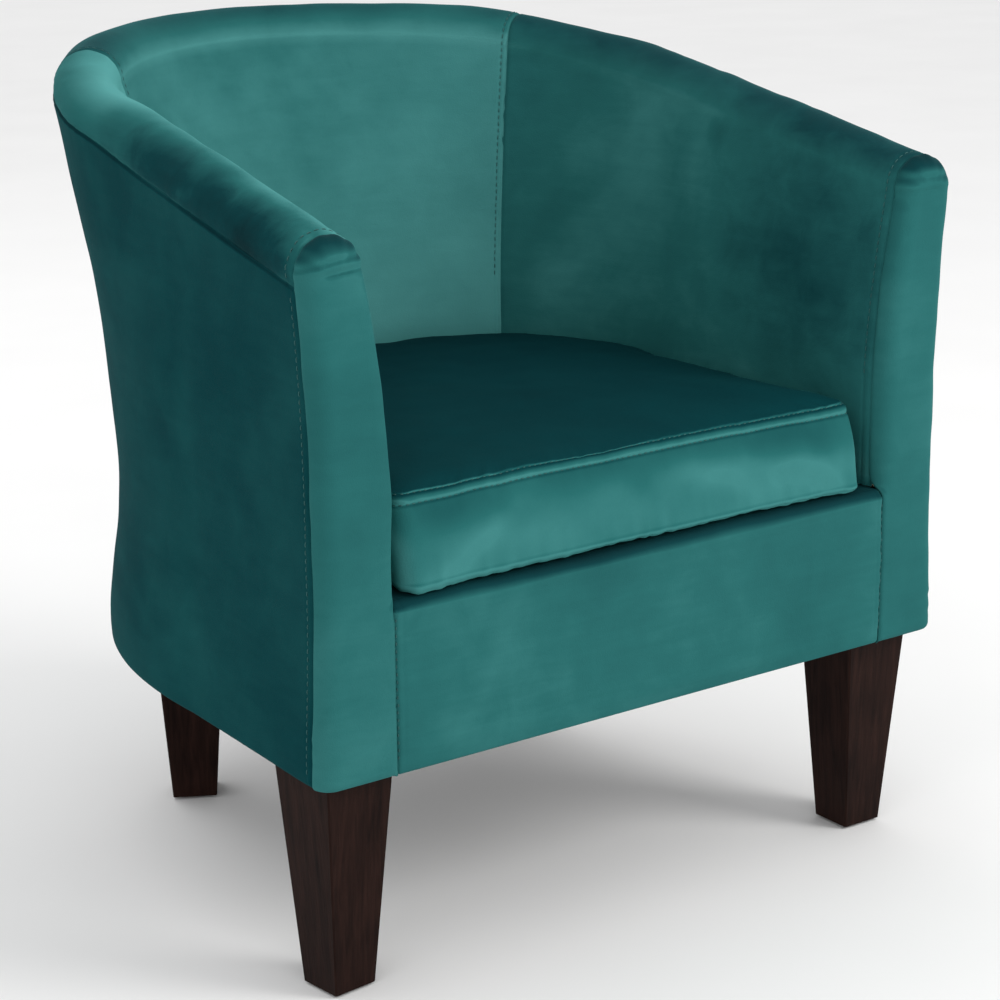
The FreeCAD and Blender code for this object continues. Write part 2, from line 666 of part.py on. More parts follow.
# ---------------------------------------------------------------- legs
for name, (x, y) in legs_at.items():
    z0, z1 = GLIDE_T, LEG_H
    a, b = LEG_FOOT / 2.0, LEG_TOP / 2.0
    leg = Part.makeWedge(-a, z0, -a, -b, -b, a, z1, a, b, b)
    leg.rotate(V(0, 0, 0), V(1, 0, 0), 90.0)
    if leg.Volume < 0:
        leg.reverse()
    long_edges = [e for e in leg.Edges if abs(e.Vertexes[0].Point.z - e.Vertexes[-1].Point.z) > 50]
    leg = leg.makeChamfer(1.2, long_edges)
    leg = leg.cut(Part.makeCylinder(NUT_BORE_R, 46.0, V(0, 0, z1 - 45.0)))
    # recess so that the glide's stem sits in the foot
    leg = leg.cut(Part.makeCylinder(2.05, 14.2, V(0, 0, z0 - 0.1)))
    leg.rotate(V(0, 0, 0), V(0, 0, 1), LEG_TURN[name])
    leg.translate(V(x, y, 0))
    parts[name] = leg
    g = Part.makeCylinder(13.0, GLIDE_T, V(x, y, 0))
    try:
        low = [e for e in g.Edges if abs(e.CenterOfMass.z) < 0.01]
        g = g.makeFillet(0.6, low)
    except Exception:
        pass
    g = g.fuse(Part.makeCylinder(2.0, 13.5, V(x, y, GLIDE_T - 0.5))).removeSplitter()
    glides.append(g)
    bolts.append(Part.makeCylinder(BOLT_R, 44.0 + RING_LOW_Z - LEG_H + RING_T - 1.0, V(x, y, LEG_H - 44.0)))
    fl = Part.makeCylinder(11.0, 1.4, V(x, y, RING_LOW_Z + RING_T + 0.05))
    br = Part.makeCylinder(NUT_BARREL_R, 12.0, V(x, y, RING_LOW_Z + RING_T + 0.05 - 11.9))
    nuts.append(fl.fuse(br).cut(Part.makeCylinder(NUT_BORE_R, 30.0, V(x, y, RING_LOW_Z))).removeSplitter())
parts["glides"] = group(glides)
parts["hanger_bolts"] = group(bolts)
parts["leg_nuts"] = group(nuts)

# ---------------------------------------------------------------- seat cushion
def cushion_out(inset):
    return lambda u: reach(CUSHION, u) - CUSHION_GAP - inset


def slab(inset, z0, z1):
    return prism(d_face(cushion_out(inset), CUSHION_FRONT_Y + inset, z0), z1 - z0)


ZIP_Y, ZIP_HALF = 96.0, 148.0
C0, C1 = DECK_Z + 0.5, CUSHION_TOP
slot = box(-ZIP_HALF - 6, ZIP_HALF + 6, ZIP_Y - 8, ZIP_Y + 8, C0 - 1, C0 + 4.6)
parts["cushion_top"] = slab(0.0, C1 - COVER_T, C1)
parts["cushion_bottom"] = slab(0.0, C0, C0 + COVER_T).cut(slot)
parts["cushion_boxing"] = slab(0.0, C0 + COVER_T + 0.2, C1 - COVER_T - 0.2).cut(
    slab(COVER_T, C0, C1))
parts["cushion_wrap"] = slab(COVER_T + 0.4, C0 + COVER_T + 0.4, C1 - COVER_T - 0.4).cut(
    slab(COVER_T + 8.0, C0 + 9.0, C1 - COVER_T - 8.0)).cut(slot)
parts["cushion_foam"] = slab(COVER_T + 8.4, C0 + 9.4, C1 - COVER_T - 8.4)
tape_z = C0 + 2.9
tapes = [box(-ZIP_HALF - 5, ZIP_HALF + 5, ZIP_Y - 7.8, ZIP_Y - 2.6, tape_z, tape_z + 0.8),
         box(-ZIP_HALF - 5, ZIP_HALF + 5, ZIP_Y + 2.6, ZIP_Y + 7.8, tape_z, tape_z + 0.8)]
coils = [box(-ZIP_HALF, ZIP_HALF, ZIP_Y - 2.5, ZIP_Y - 0.4, tape_z - 0.3, tape_z + 1.1),
         box(-ZIP_HALF, ZIP_HALF, ZIP_Y + 0.4, ZIP_Y + 2.5, tape_z - 0.3, tape_z + 1.1)]
stops = [box(s * (ZIP_HALF + 2.4) - 1.6, s * (ZIP_HALF + 2.4) + 1.6, ZIP_Y - 2.5, ZIP_Y + 2.5, tape_z - 0.6, tape_z + 1.3)
         for s in (-1, 1)]
parts["zip_tapes"] = group(tapes)
parts["zip_coils"] = group(coils)
parts["zip_stops"] = group(stops)
zx = -ZIP_HALF + 8.0
body = box(zx - 6.5, zx + 6.5, ZIP_Y - 4.4, ZIP_Y + 4.4, C0 + 0.5, tape_z + 1.62)
tunnel = box(zx - 7, zx + 7, ZIP_Y - 3.6, ZIP_Y + 3.6, tape_z - 0.5, tape_z + 1.3)
flange_gap = box(zx - 7, zx + 7, ZIP_Y - 5, ZIP_Y + 5, tape_z - 0.15, tape_z + 0.95)
parts["zip_slider"] = body.cut(tunnel).cut(flange_gap)
# the bridge between the two plates
bridge = box(zx - 5.8, zx - 4.4, ZIP_Y - 0.34, ZIP_Y + 0.34, tape_z - 0.52, tape_z + 1.32)
parts["zip_slider"] = parts["zip_slider"].fuse(bridge).removeSplitter()

# ---------------------------------------------------------------- placing and writing
shift = -0.5 * (CUSHION_FRONT_Y + RIM[3] + RIM_R)
for name, s in parts.items():
    s = s.copy()
    s.translate(V(0, shift, 0))
    for k in s.Solids:
        if not k.isValid() or k.Volume <= 0:
            print("BAD", name, k.isValid(), round(k.Volume, 2))
    if not s.Solids:
        print("EMPTY", name)
    s.exportStep("parts/" + name + ".step")
b = [1e9, 1e9, 1e9, -1e9, -1e9, -1e9]
for s in parts.values():
    q = s.BoundBox
    b = [min(b[0], q.XMin), min(b[1], q.YMin), min(b[2], q.ZMin), max(b[3], q.XMax), max(b[4], q.YMax), max(b[5], q.ZMax)]
print("nodes", len(parts), "shift_y", round(shift, 3), "box", [round(x, 1) for x in b])
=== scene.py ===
import json
import math
import bpy
import numpy as np
from mathutils import Matrix, Vector


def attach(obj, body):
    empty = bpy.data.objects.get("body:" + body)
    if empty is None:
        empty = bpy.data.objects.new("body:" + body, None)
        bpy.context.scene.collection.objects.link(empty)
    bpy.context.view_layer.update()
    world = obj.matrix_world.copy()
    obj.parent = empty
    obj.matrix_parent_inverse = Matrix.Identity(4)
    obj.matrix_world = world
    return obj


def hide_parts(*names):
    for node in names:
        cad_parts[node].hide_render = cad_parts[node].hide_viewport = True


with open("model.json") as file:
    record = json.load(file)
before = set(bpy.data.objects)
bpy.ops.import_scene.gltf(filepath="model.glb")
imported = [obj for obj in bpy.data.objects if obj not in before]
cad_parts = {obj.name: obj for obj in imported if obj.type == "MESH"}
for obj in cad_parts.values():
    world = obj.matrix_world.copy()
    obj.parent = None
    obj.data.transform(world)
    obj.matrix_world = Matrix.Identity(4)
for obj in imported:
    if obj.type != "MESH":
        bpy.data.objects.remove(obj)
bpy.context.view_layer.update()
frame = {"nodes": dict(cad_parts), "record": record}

# ---------------------------------------------------------------- camera
PLACE_Y = -24.75
cam_data = bpy.data.cameras.new("camera")
cam_data.sensor_width = 36.0
cam_data.lens = 95.64
cam_data.clip_start, cam_data.clip_end = 0.05, 60.0
cam = bpy.data.objects.new("camera", cam_data)
bpy.context.scene.collection.objects.link(cam)
YAW, PITCH, ROLL = 0.6361429, 0.2781587, -0.0084852
fw = Vector((math.sin(YAW) * math.cos(PITCH), math.cos(YAW) * math.cos(PITCH), -math.sin(PITCH)))
right0 = Vector((math.cos(YAW), -math.sin(YAW), 0.0))
up0 = right0.cross(fw)
right = math.cos(ROLL) * right0 + math.sin(ROLL) * up0
up = -math.sin(ROLL) * right0 + math.cos(ROLL) * up0
m = Matrix((right, up, -fw)).transposed().to_4x4()
m.translation = Vector((-1.344766, (-1907.104 + PLACE_Y) / 1000.0, 0.968893))
cam.matrix_world = m
bpy.context.scene.camera = cam

# ---------------------------------------------------------------- shape of the chair (mm)
FRONT_Y, BODY_Z0, WAIST_Z, SEAT_Z, DECK_Z, TURN_Y = -301.6, 192.0, 345.0, 416.0, 334.0, 52.0
BASE = (331.0, 317.8, -81.5, 297.8, 2.24)
SEAT = (256.5, 243.0, -30.0, 191.0, 2.30)
RIM = (306.0, 287.4, 52.0, 324.0, 1.89)
CUSHION = (252.0, 243.0, -30.0, 191.0, 2.30)
RIM_R = 28.5
RIM_T = (0.0, 0.20, 0.40, 0.55, 0.70, 0.85, 1.0)
RIM_Z = (591.6, 623.4, 653.2, 671.2, 688.0, 693.8, 695.6)
SEAM_U = 1.0 + 31.0 / 90.0
EDGE_R = 16.0       # the arm fronts wrap round the arm with this radius and are sewn to the sides behind it
FULL = 0.8          # the stuffing holds the cloth this far off the cutting line
LOWEST = -1.05      # the seams stay above the padding


def half_x(o, y):
    wf, wm, ym, yb, n = o
    if y <= ym:
        return wf + (wm - wf) * (y - FRONT_Y) / (ym - FRONT_Y)
    v = min(max((y - ym) / (yb - ym), 0.0), 1.0)
    return wm * (1.0 - v ** n) ** (1.0 / n)


def reach(o, u):
    if u <= 1.0:
        return half_x(o, FRONT_Y + u * (TURN_Y - FRONT_Y))
    a = math.radians((u - 1.0) * 90.0)
    c, s = math.cos(a), math.sin(a)
    lo, hi = 0.0, 600.0
    for _ in range(40):
        k = 0.5 * (lo + hi)
        if TURN_Y + k * s < o[3] and k * c < half_x(o, TURN_Y + k * s):
            lo = k
        else:
            hi = k
    return 0.5 * (lo + hi)


def flat_spot(u, side, s):
    if u <= 1.0:
        return (side * s, FRONT_Y + u * (TURN_Y - FRONT_Y))
    a = math.radians((u - 1.0) * 90.0)
    return (side * s * math.cos(a), TURN_Y + s * math.sin(a))


UT = np.linspace(0.0, 2.0, 481)
T_BASE = np.array([reach(BASE, u) for u in UT])
T_SEAT = np.array([reach(SEAT, u) for u in UT])
T_RIM = np.array([reach(RIM, u) for u in UT])
_p = np.array([flat_spot(u, 1, s) for u, s in zip(UT, T_RIM)])
T_LEN = np.concatenate([[0.0], np.cumsum(np.linalg.norm(np.diff(_p, axis=0), axis=1))])
RIM_L = T_LEN[-1]


def rim_height(t):
    n = len(RIM_T)
    h = [RIM_T[i + 1] - RIM_T[i] for i in range(n - 1)]
    g = [(RIM_Z[i + 1] - RIM_Z[i]) / h[i] for i in range(n - 1)]
    mm = [g[0]] + [0.5 * (g[i] + g[i + 1]) for i in range(n - 2)] + [0.0]
    for i in range(n - 1):
        if t <= RIM_T[i + 1] or i == n - 2:
            x = min(max((t - RIM_T[i]) / h[i], 0.0), 1.0)
            a, b = RIM_Z[i], RIM_Z[i + 1]
            return ((2 * x ** 3 - 3 * x ** 2 + 1) * a + (x ** 3 - 2 * x ** 2 + x) * h[i] * mm[i]
                    + (-2 * x ** 3 + 3 * x ** 2) * b + (x ** 3 - x ** 2) * h[i] * mm[i + 1])


T_ZR = np.array([rim_height(s / RIM_L) for s in T_LEN])


def look(table, u):
    return np.interp(u, UT, table)


def station_at(s):
    return np.interp(s, T_LEN, UT)


def blend(u, front, back):
    x = np.clip(look(T_LEN, u) / RIM_L / 0.5, 0.0, 1.0)
    return front + (back - front) * (3 * x * x - 2 * x ** 3)


def outer(u, z):
    """Distance of the outer wall face from the middle, at station u and height z; over the rim's
    centre it follows the round of the rim."""
    sb, rim, zr, w = look(T_BASE, u), look(T_RIM, u), look(T_ZR, u), blend(u, 5.5, 12.9)
    low = sb - w * 0.5 * (1 + np.cos(np.pi * np.clip((WAIST_Z - z) / (WAIST_Z - BODY_Z0), 0, 1)))
    t = np.clip((z - WAIST_Z) / (zr - WAIST_Z), 0, 1)
    high = sb - w + (rim + RIM_R - sb + w) * t ** blend(u, 2.6, 1.78)
    over = rim + np.sqrt(np.clip(RIM_R ** 2 - np.clip(z - zr, 0, None) ** 2, 0, None))
    return np.where(z <= WAIST_Z, low, np.where(z <= zr, high, over))


def inner(u, z):
    si, rim, zr = look(T_SEAT, u), look(T_RIM, u), look(T_ZR, u)
    t = np.clip((z - SEAT_Z) / (zr - SEAT_Z), 0, 1)
    return si + (rim - RIM_R - si) * t ** blend(u, 1.7, 1.4)


def place(u, side, s, z):
    """Points of the wall from station, side (-1 left, +1 right), distance from the middle and height."""
    u, side, s, z = np.broadcast_arrays(np.asarray(u, float), np.asarray(side, float), s, z)
    a = np.radians((u - 1.0) * 90.0)
    x = np.where(u <= 1.0, s, s * np.cos(a))
    y = np.where(u <= 1.0, FRONT_Y + u * (TURN_Y - FRONT_Y), TURN_Y + s * np.sin(a))
    return np.stack([side * x, y, z], -1)


# ---------------------------------------------------------------- small tools
def waves(P, size, seed, n=16, stretch=(1.0, 1.0, 1.0)):
    """Smooth unevenness of about unit height and the given wavelength in mm."""
    r = np.random.RandomState(seed)
    out = np.zeros(P.shape[:-1])
    for _ in range(n):
        d = r.normal(size=3)
        d = d / np.linalg.norm(d) * np.array(stretch)
        w = size * r.uniform(0.65, 1.6)
        out += np.sin(P @ d * (2 * math.pi / w) + r.uniform(0, 2 * math.pi))
    return out / math.sqrt(n / 2.0)


def spaced(length, coarse=6.0, fine=1.2, band=13.0, start=True, end=True):
    """Positions from 0 to length, close together near the ends that carry a seam."""
    lo = band if start else 0.0
    hi = length - (band if end else 0.0)
    mid = np.linspace(lo, hi, max(int(round((hi - lo) / coarse)), 2) + 1)
    a = np.arange(0.0, lo - 0.3, fine) if start else np.array([])
    b = length - np.arange(0.0, band - 0.3, fine)[::-1] if end else np.array([])
    return np.concatenate([a, mid, b])


def normals(G):
    n = np.cross(np.gradient(G, axis=0), np.gradient(G, axis=1))
    return n / (np.linalg.norm(n, axis=-1, keepdims=True) + 1e-12)


def run_lengths(G, axis):
    """Distance along the cloth from the first and from the last edge of that axis."""
    d = np.linalg.norm(np.diff(G, axis=axis), axis=-1)
    z = np.zeros(G.shape[:2])
    if axis == 0:
        z[1:, :] = np.cumsum(d, axis=0)
        return z, z[-1:, :] - z
    z[:, 1:] = np.cumsum(d, axis=1)
    return z, z[:, -1:] - z


def tuck(d, r, depth):
    """How far cloth drops towards a seam."""
    t = np.clip(d / r, 0.0, 1.0)
    return depth * (1.0 - np.sqrt(np.clip(1.0 - (1.0 - t) ** 2, 0.0, 1.0)))


def corner(d, r):
    """Depth of a round corner at distance d from the flat edge line."""
    k = np.clip(r - d, 0.0, r)
    return r - np.sqrt(np.clip(r * r - k * k, 0.0, None))


def groove(d, width, depth):
    return depth * np.exp(-(d / width) ** 2)


def metres(a):
    a = np.array(a, float)
    a[..., 1] += PLACE_Y
    return a * 0.001


def make_mesh(name, verts, faces, material, body, smooth=True):
    me = bpy.data.meshes.new(name)
    me.from_pydata(metres(verts).tolist(), [], faces)
    me.update()
    if smooth:
        me.polygons.foreach_set("use_smooth", [True] * len(me.polygons))
    me.materials.append(material)
    o = bpy.data.objects.new(name, me)
    bpy.context.scene.collection.objects.link(o)
    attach(o, body)
    return o


def grid_faces(ni, nj, flip=False, wrap=False, first=0):
    idx = np.arange(ni * nj).reshape(ni, nj) + first
    if wrap:
        idx = np.concatenate([idx, idx[:1]], axis=0)
    q = np.stack([idx[:-1, :-1], idx[1:, :-1], idx[1:, 1:], idx[:-1, 1:]], -1).reshape(-1, 4)
    if flip:
        q = q[:, ::-1]
    return q.tolist()


def cloth_piece(name, G, N, material, body="chair", thick=1.4, flip=False):
    """Closed piece of cloth: the face G and a back face, joined round the edge."""
    ni, nj = G.shape[:2]
    B = G - N * thick
    v = np.concatenate([G.reshape(-1, 3), B.reshape(-1, 3)])
    k = ni * nj
    f = grid_faces(ni, nj, flip) + grid_faces(ni, nj, not flip, first=k)
    idx = np.arange(k).reshape(ni, nj)
    loop = list(idx[0, :]) + list(idx[1:, -1]) + list(idx[-1, ::-1][1:]) + list(idx[::-1, 0][1:])
    loop = [int(x) for x in loop]
    for a, b in zip(loop[:-1], loop[1:]):
        q = [a, b, b + k, a + k]
        f.append(q if flip else q[::-1])
    return make_mesh(name, v, f, material, body)


def allowance(G, base, edges, mm=3.0):
    """Seam allowance: the named edges run on a little under the piece next to them."""
    for axis, last in edges:
        if axis:
            G, base = G.transpose(1, 0, 2), base.transpose(1, 0, 2)
        a, b = (-1, -2) if last else (0, 1)
        step = base[a] - base[b]
        step = step / np.maximum(np.linalg.norm(step, axis=-1, keepdims=True), 1e-9) * mm
        order = (lambda rows, row: [rows, row[None]]) if last else (lambda rows, row: [row[None], rows])
        G, base = np.concatenate(order(G, G[a] + step), 0), np.concatenate(order(base, base[a] + step), 0)
        if axis:
            G, base = G.transpose(1, 0, 2), base.transpose(1, 0, 2)
    return G


def offset_line(G, N, axis, at_end, dist):
    """Line on the cloth at a fixed distance from one edge: points and normals."""
    a, b = run_lengths(G, axis)
    d = b if at_end else a
    pts, nrm = [], []
    count = G.shape[1] if axis == 0 else G.shape[0]
    for k in range(count):
        dd = d[:, k] if axis == 0 else d[k, :]
        gg = G[:, k] if axis == 0 else G[k, :]
        nn = N[:, k] if axis == 0 else N[k, :]
        order = np.argsort(dd)
        pts.append([np.interp(dist, dd[order], gg[order, c]) for c in range(3)])
        nrm.append([np.interp(dist, dd[order], nn[order, c]) for c in range(3)])
    return np.array(pts), np.array(nrm)


STITCHES = {}


def stitch(group, pts, nrm, long=4.2, gap=2.3, r=0.42, lift=0.25, trim=4.0):
    """Adds a row of stitches along a line to a named group."""
    seg = np.linalg.norm(np.diff(pts, axis=0), axis=1)
    s = np.concatenate([[0.0], np.cumsum(seg)])
    total = s[-1] - 2 * trim
    n = int(total // (long + gap))
    if n < 1:
        return
    pitch = total / n
    vs, fs = STITCHES.setdefault(group, ([], []))
    prof = ((0.0, -0.7, 0.55), (0.12, 0.0, 0.9), (0.5, 0.25, 1.0), (0.88, 0.0, 0.9), (1.0, -0.7, 0.55))
    for k in range(n):
        s0 = trim + k * pitch + 0.5 * gap
        cs = np.array([s0 + p[0] * (pitch - gap) for p in prof])
        C = np.stack([np.interp(cs, s, pts[:, c]) for c in range(3)], 1)
        Q = np.stack([np.interp(cs, s, nrm[:, c]) for c in range(3)], 1)
        T = C[-1] - C[0]
        T /= np.linalg.norm(T) + 1e-9
        base = len(vs)
        for p, c0, q in zip(prof, C, Q):
            q = q / (np.linalg.norm(q) + 1e-9)
            b = np.cross(T, q)
            b /= np.linalg.norm(b) + 1e-9
            c1 = c0 + q * (p[1] * r * 1.6 + lift)
            for i in range(6):
                a = math.pi / 3 * i
                vs.append(c1 + (b * math.cos(a) + q * math.sin(a)) * r * p[2])
        for j in range(4):
            for i in range(6):
                i2 = (i + 1) % 6
                fs.append([base + j * 6 + i, base + j * 6 + i2, base + (j + 1) * 6 + i2, base + (j + 1) * 6 + i])
        fs.append([base + i for i in range(6)][::-1])
        fs.append([base + 24 + i for i in range(6)])


# ---------------------------------------------------------------- materials
def node_material(name):
    mat = bpy.data.materials.new(name)
    mat.use_nodes = True
    nt = mat.node_tree
    return mat, nt, nt.nodes["Principled BSDF"], nt.nodes["Material Output"]


def add(nt, kind, **values):
    n = nt.nodes.new(kind)
    for k, v in values.items():
        if hasattr(n, k) and k not in n.inputs:
            setattr(n, k, v)
        else:
            n.inputs[k].default_value = v
    return n


def mapped(nt, scale, rotation=(0, 0, 0)):
    tc = nt.nodes.new("ShaderNodeTexCoord")
    mp = nt.nodes.new("ShaderNodeMapping")
    mp.inputs["Scale"].default_value = scale
    mp.inputs["Rotation"].default_value = rotation
    nt.links.new(tc.outputs["Object"], mp.inputs["Vector"])
    return mp.outputs["Vector"]


def ramp(nt, fac, stops, ease="LINEAR"):
    r = nt.nodes.new("ShaderNodeValToRGB")
    r.color_ramp.interpolation = ease
    while len(r.color_ramp.elements) < len(stops):
        r.color_ramp.elements.new(0.5)
    for e, (p, c) in zip(r.color_ramp.elements, stops):
        e.position = p
        e.color = c if len(c) == 4 else (*c, 1.0)
    nt.links.new(fac, r.inputs["Fac"])
    return r.outputs["Color"]


def math_node(nt, op, a, b=None, clamp=False):
    n = nt.nodes.new("ShaderNodeMath")
    n.operation = op
    n.use_clamp = clamp
    for i, v in enumerate((a, b)):
        if v is None:
            continue
        if isinstance(v, (int, float)):
            n.inputs[i].default_value = v
        else:
            nt.links.new(v, n.inputs[i])
    return n.outputs[0]


def noise(nt, vec, scale, detail=3.0, rough=0.55, distort=0.0):
    n = nt.nodes.new("ShaderNodeTexNoise")
    n.inputs["Scale"].default_value = scale
    n.inputs["Detail"].default_value = detail
    n.inputs["Roughness"].default_value = rough
    n.inputs["Distortion"].default_value = distort
    nt.links.new(vec, n.inputs["Vector"])
    return n.outputs["Fac"]


def velvet(name, shade=0.0, up=0.55, streak=(4.0, 4.0, 22.0), seed=0.0, patch=1.0, spots=(), tilt=(0.0, 0.0, 0.0), sheen=0.10,
           turn=0.0, spec=0.06):
    """Short-pile velvet. shade is painted light and shade: it moves the whole piece darker or lighter,
    up is painted shade: how much darker faces that look up are made, standing in for the darker look of the flat-lying
    nap, tilt is a painted steady change of light along x, y and z per metre, turn is painted light and shade: how much
    lighter it is made facing +x than -x, and spots are places made lighter or darker: (x, y, z, radius, change)."""
    mat, nt, bsdf, out = node_material(name)
    o1 = mapped(nt, (1.0, 1.0, 1.0))
    mp = nt.nodes.new("ShaderNodeMapping")
    mp.inputs["Location"].default_value = (seed, seed * 1.7, seed * 0.6)
    nt.links.new(o1, mp.inputs["Vector"])
    o = mp.outputs["Vector"]
    big = noise(nt, o, 6.5, 3.0, 0.5, 0.4)
    mid = noise(nt, o, 26.0, 4.0, 0.62, 0.4)
    st = nt.nodes.new("ShaderNodeMapping")
    st.inputs["Scale"].default_value = streak
    nt.links.new(o, st.inputs["Vector"])
    lay = noise(nt, st.outputs["Vector"], 4.0, 5.0, 0.62, 0.35)
    fine = noise(nt, o, 900.0, 2.0, 0.6)
    geo = nt.nodes.new("ShaderNodeTexCoord")
    sep = nt.nodes.new("ShaderNodeSeparateXYZ")
    nt.links.new(geo.outputs["Normal"], sep.inputs[0])
    # painted shade: faces that look up are made darker, standing in for the darker look of the flat-lying nap
    top = math_node(nt, "MAXIMUM", math_node(nt, "SUBTRACT", sep.outputs["Z"], 0.12), 0.0)
    top = math_node(nt, "POWER", top, 0.8)
    # brightness, 0 dark to 1 light: random tone of the lay, plus painted light and shade from shade, up, turn and tilt
    f = math_node(nt, "MULTIPLY", math_node(nt, "SUBTRACT", big, 0.5), 0.50 * patch)
    f = math_node(nt, "ADD", f, math_node(nt, "MULTIPLY", math_node(nt, "SUBTRACT", mid, 0.5), 0.20 * patch))
    f = math_node(nt, "ADD", f, math_node(nt, "MULTIPLY", math_node(nt, "SUBTRACT", lay, 0.5), 0.13 * patch))
    f = math_node(nt, "ADD", f, 0.60 + shade)
    f = math_node(nt, "SUBTRACT", f, math_node(nt, "MULTIPLY", top, up))
    # painted light and shade: lighter where the face looks towards +x, darker towards -x, as the key light falls
    if turn:
        f = math_node(nt, "ADD", f, math_node(nt, "MULTIPLY", sep.outputs["X"], turn))
    # painted light: a steady change of brightness along x, y and z, set to how the light falls on the piece
    xyz = nt.nodes.new("ShaderNodeSeparateXYZ")
    nt.links.new(o1, xyz.inputs[0])
    for axis, k in zip("XYZ", tilt):
        if k:
            f = math_node(nt, "ADD", f, math_node(nt, "MULTIPLY", xyz.outputs[axis], k))
    for x, y, z, radius, change in spots:
        d = nt.nodes.new("ShaderNodeVectorMath")
        d.operation = "DISTANCE"
        nt.links.new(o1, d.inputs[0])
        d.inputs[1].default_value = (x, y, z)
        # a ragged edge: the distance is stretched by the noise
        q = math_node(nt, "ADD", d.outputs["Value"], math_node(nt, "MULTIPLY", math_node(nt, "SUBTRACT", mid, 0.5), radius * 0.7))
        r = nt.nodes.new("ShaderNodeMapRange")
        r.interpolation_type = "SMOOTHSTEP"
        r.inputs["From Min"].default_value = radius * 0.10
        r.inputs["From Max"].default_value = radius * 1.55
        r.inputs["To Min"].default_value = change
        r.inputs["To Max"].default_value = 0.0
        nt.links.new(q, r.inputs["Value"])
        f = math_node(nt, "ADD", f, r.outputs["Result"])
    f = math_node(nt, "ADD", f, 0.0, clamp=True)
    col = ramp(nt, f, [(0.0, (0.0004, 0.012, 0.016)),
                       (0.30, (0.0022, 0.040, 0.046)),
                       (0.60, (0.018, 0.122, 0.120)),
                       (1.0, (0.080, 0.300, 0.292))])
    nt.links.new(col, bsdf.inputs["Base Color"])
    rg = math_node(nt, "ADD", math_node(nt, "MULTIPLY", mid, 0.16), 0.74)
    nt.links.new(rg, bsdf.inputs["Roughness"])
    bsdf.inputs["Specular IOR Level"].default_value = spec
    bsdf.inputs["Sheen Weight"].default_value = sheen
    bsdf.inputs["Sheen Roughness"].default_value = 0.34
    bsdf.inputs["Sheen Tint"].default_value = (0.12, 0.72, 0.74, 1.0)
    b1 = add(nt, "ShaderNodeBump", Strength=0.22, Distance=0.0012)
    nt.links.new(fine, b1.inputs["Height"])
    b2 = add(nt, "ShaderNodeBump", Strength=0.26, Distance=0.0020)
    nt.links.new(mid, b2.inputs["Height"])
    nt.links.new(b1.outputs["Normal"], b2.inputs["Normal"])
    nt.links.new(b2.outputs["Normal"], bsdf.inputs["Normal"])
    return mat


def dyed_wood(name, dark, light, rough=0.42, grain=(60.0, 60.0, 3.2), coat=0.25, bump=0.25, spec=0.4):
    mat, nt, bsdf, out = node_material(name)
    v = mapped(nt, grain)
    g = noise(nt, v, 3.2, 6.0, 0.62, 0.5)
    v2 = mapped(nt, (grain[0] * 4.0, grain[1] * 4.0, grain[2] * 3.0))
    pores = noise(nt, v2, 3.0, 3.0, 0.7)
    blot = noise(nt, mapped(nt, (1.0, 1.0, 1.0)), 14.0, 2.0)
    f = math_node(nt, "ADD", math_node(nt, "MULTIPLY", g, 0.7), math_node(nt, "MULTIPLY", blot, 0.3))
    col = ramp(nt, f, [(0.30, dark), (0.52, tuple(0.5 * (a + b) for a, b in zip(dark, light))), (0.72, light)])
    nt.links.new(col, bsdf.inputs["Base Color"])
    nt.links.new(math_node(nt, "ADD", math_node(nt, "MULTIPLY", pores, 0.22), rough - 0.1), bsdf.inputs["Roughness"])
    bsdf.inputs["Specular IOR Level"].default_value = spec
    bsdf.inputs["Coat Weight"].default_value = coat
    bsdf.inputs["Coat Roughness"].default_value = 0.35
    b = add(nt, "ShaderNodeBump", Strength=bump, Distance=0.0006)
    nt.links.new(pores, b.inputs["Height"])
    nt.links.new(b.outputs["Normal"], bsdf.inputs["Normal"])
    return mat


def woven(name, dark, light, size=900.0, rough=0.9):
    mat, nt, bsdf, out = node_material(name)
    v = mapped(nt, (1.0, 1.0, 1.0))
    w1 = add(nt, "ShaderNodeTexWave", Scale=size, Distortion=0.6)
    w1.bands_direction = "X"
    w2 = add(nt, "ShaderNodeTexWave", Scale=size, Distortion=0.6)
    w2.bands_direction = "Y"
    for w in (w1, w2):
        nt.links.new(v, w.inputs["Vector"])
    h = math_node(nt, "MAXIMUM", w1.outputs["Fac"], w2.outputs["Fac"])
    f = math_node(nt, "ADD", math_node(nt, "MULTIPLY", h, 0.4), math_node(nt, "MULTIPLY", noise(nt, v, 30.0), 0.6))
    nt.links.new(ramp(nt, f, [(0.25, dark), (0.8, light)]), bsdf.inputs["Base Color"])
    nt.links.new(math_node(nt, "ADD", math_node(nt, "MULTIPLY", h, 0.1), rough - 0.1), bsdf.inputs["Roughness"])
    b = add(nt, "ShaderNodeBump", Strength=0.4, Distance=0.0005)
    nt.links.new(h, b.inputs["Height"])
    nt.links.new(b.outputs["Normal"], bsdf.inputs["Normal"])
    return mat


def fluffy(name, dark, light, size=260.0, rough=0.95, depth=0.002):
    mat, nt, bsdf, out = node_material(name)
    v = mapped(nt, (1.0, 1.0, 1.0))
    cells = add(nt, "ShaderNodeTexVoronoi", Scale=size)
    nt.links.new(v, cells.inputs["Vector"])
    n = noise(nt, v, 40.0, 4.0)
    f = math_node(nt, "ADD", math_node(nt, "MULTIPLY", cells.outputs["Distance"], 0.5), math_node(nt, "MULTIPLY", n, 0.6))
    nt.links.new(ramp(nt, f, [(0.2, dark), (0.8, light)]), bsdf.inputs["Base Color"])
    nt.links.new(math_node(nt, "ADD", math_node(nt, "MULTIPLY", n, 0.1), rough - 0.1), bsdf.inputs["Roughness"])
    b = add(nt, "ShaderNodeBump", Strength=0.5, Distance=depth)
    nt.links.new(cells.outputs["Distance"], b.inputs["Height"])
    nt.links.new(b.outputs["Normal"], bsdf.inputs["Normal"])
    return mat


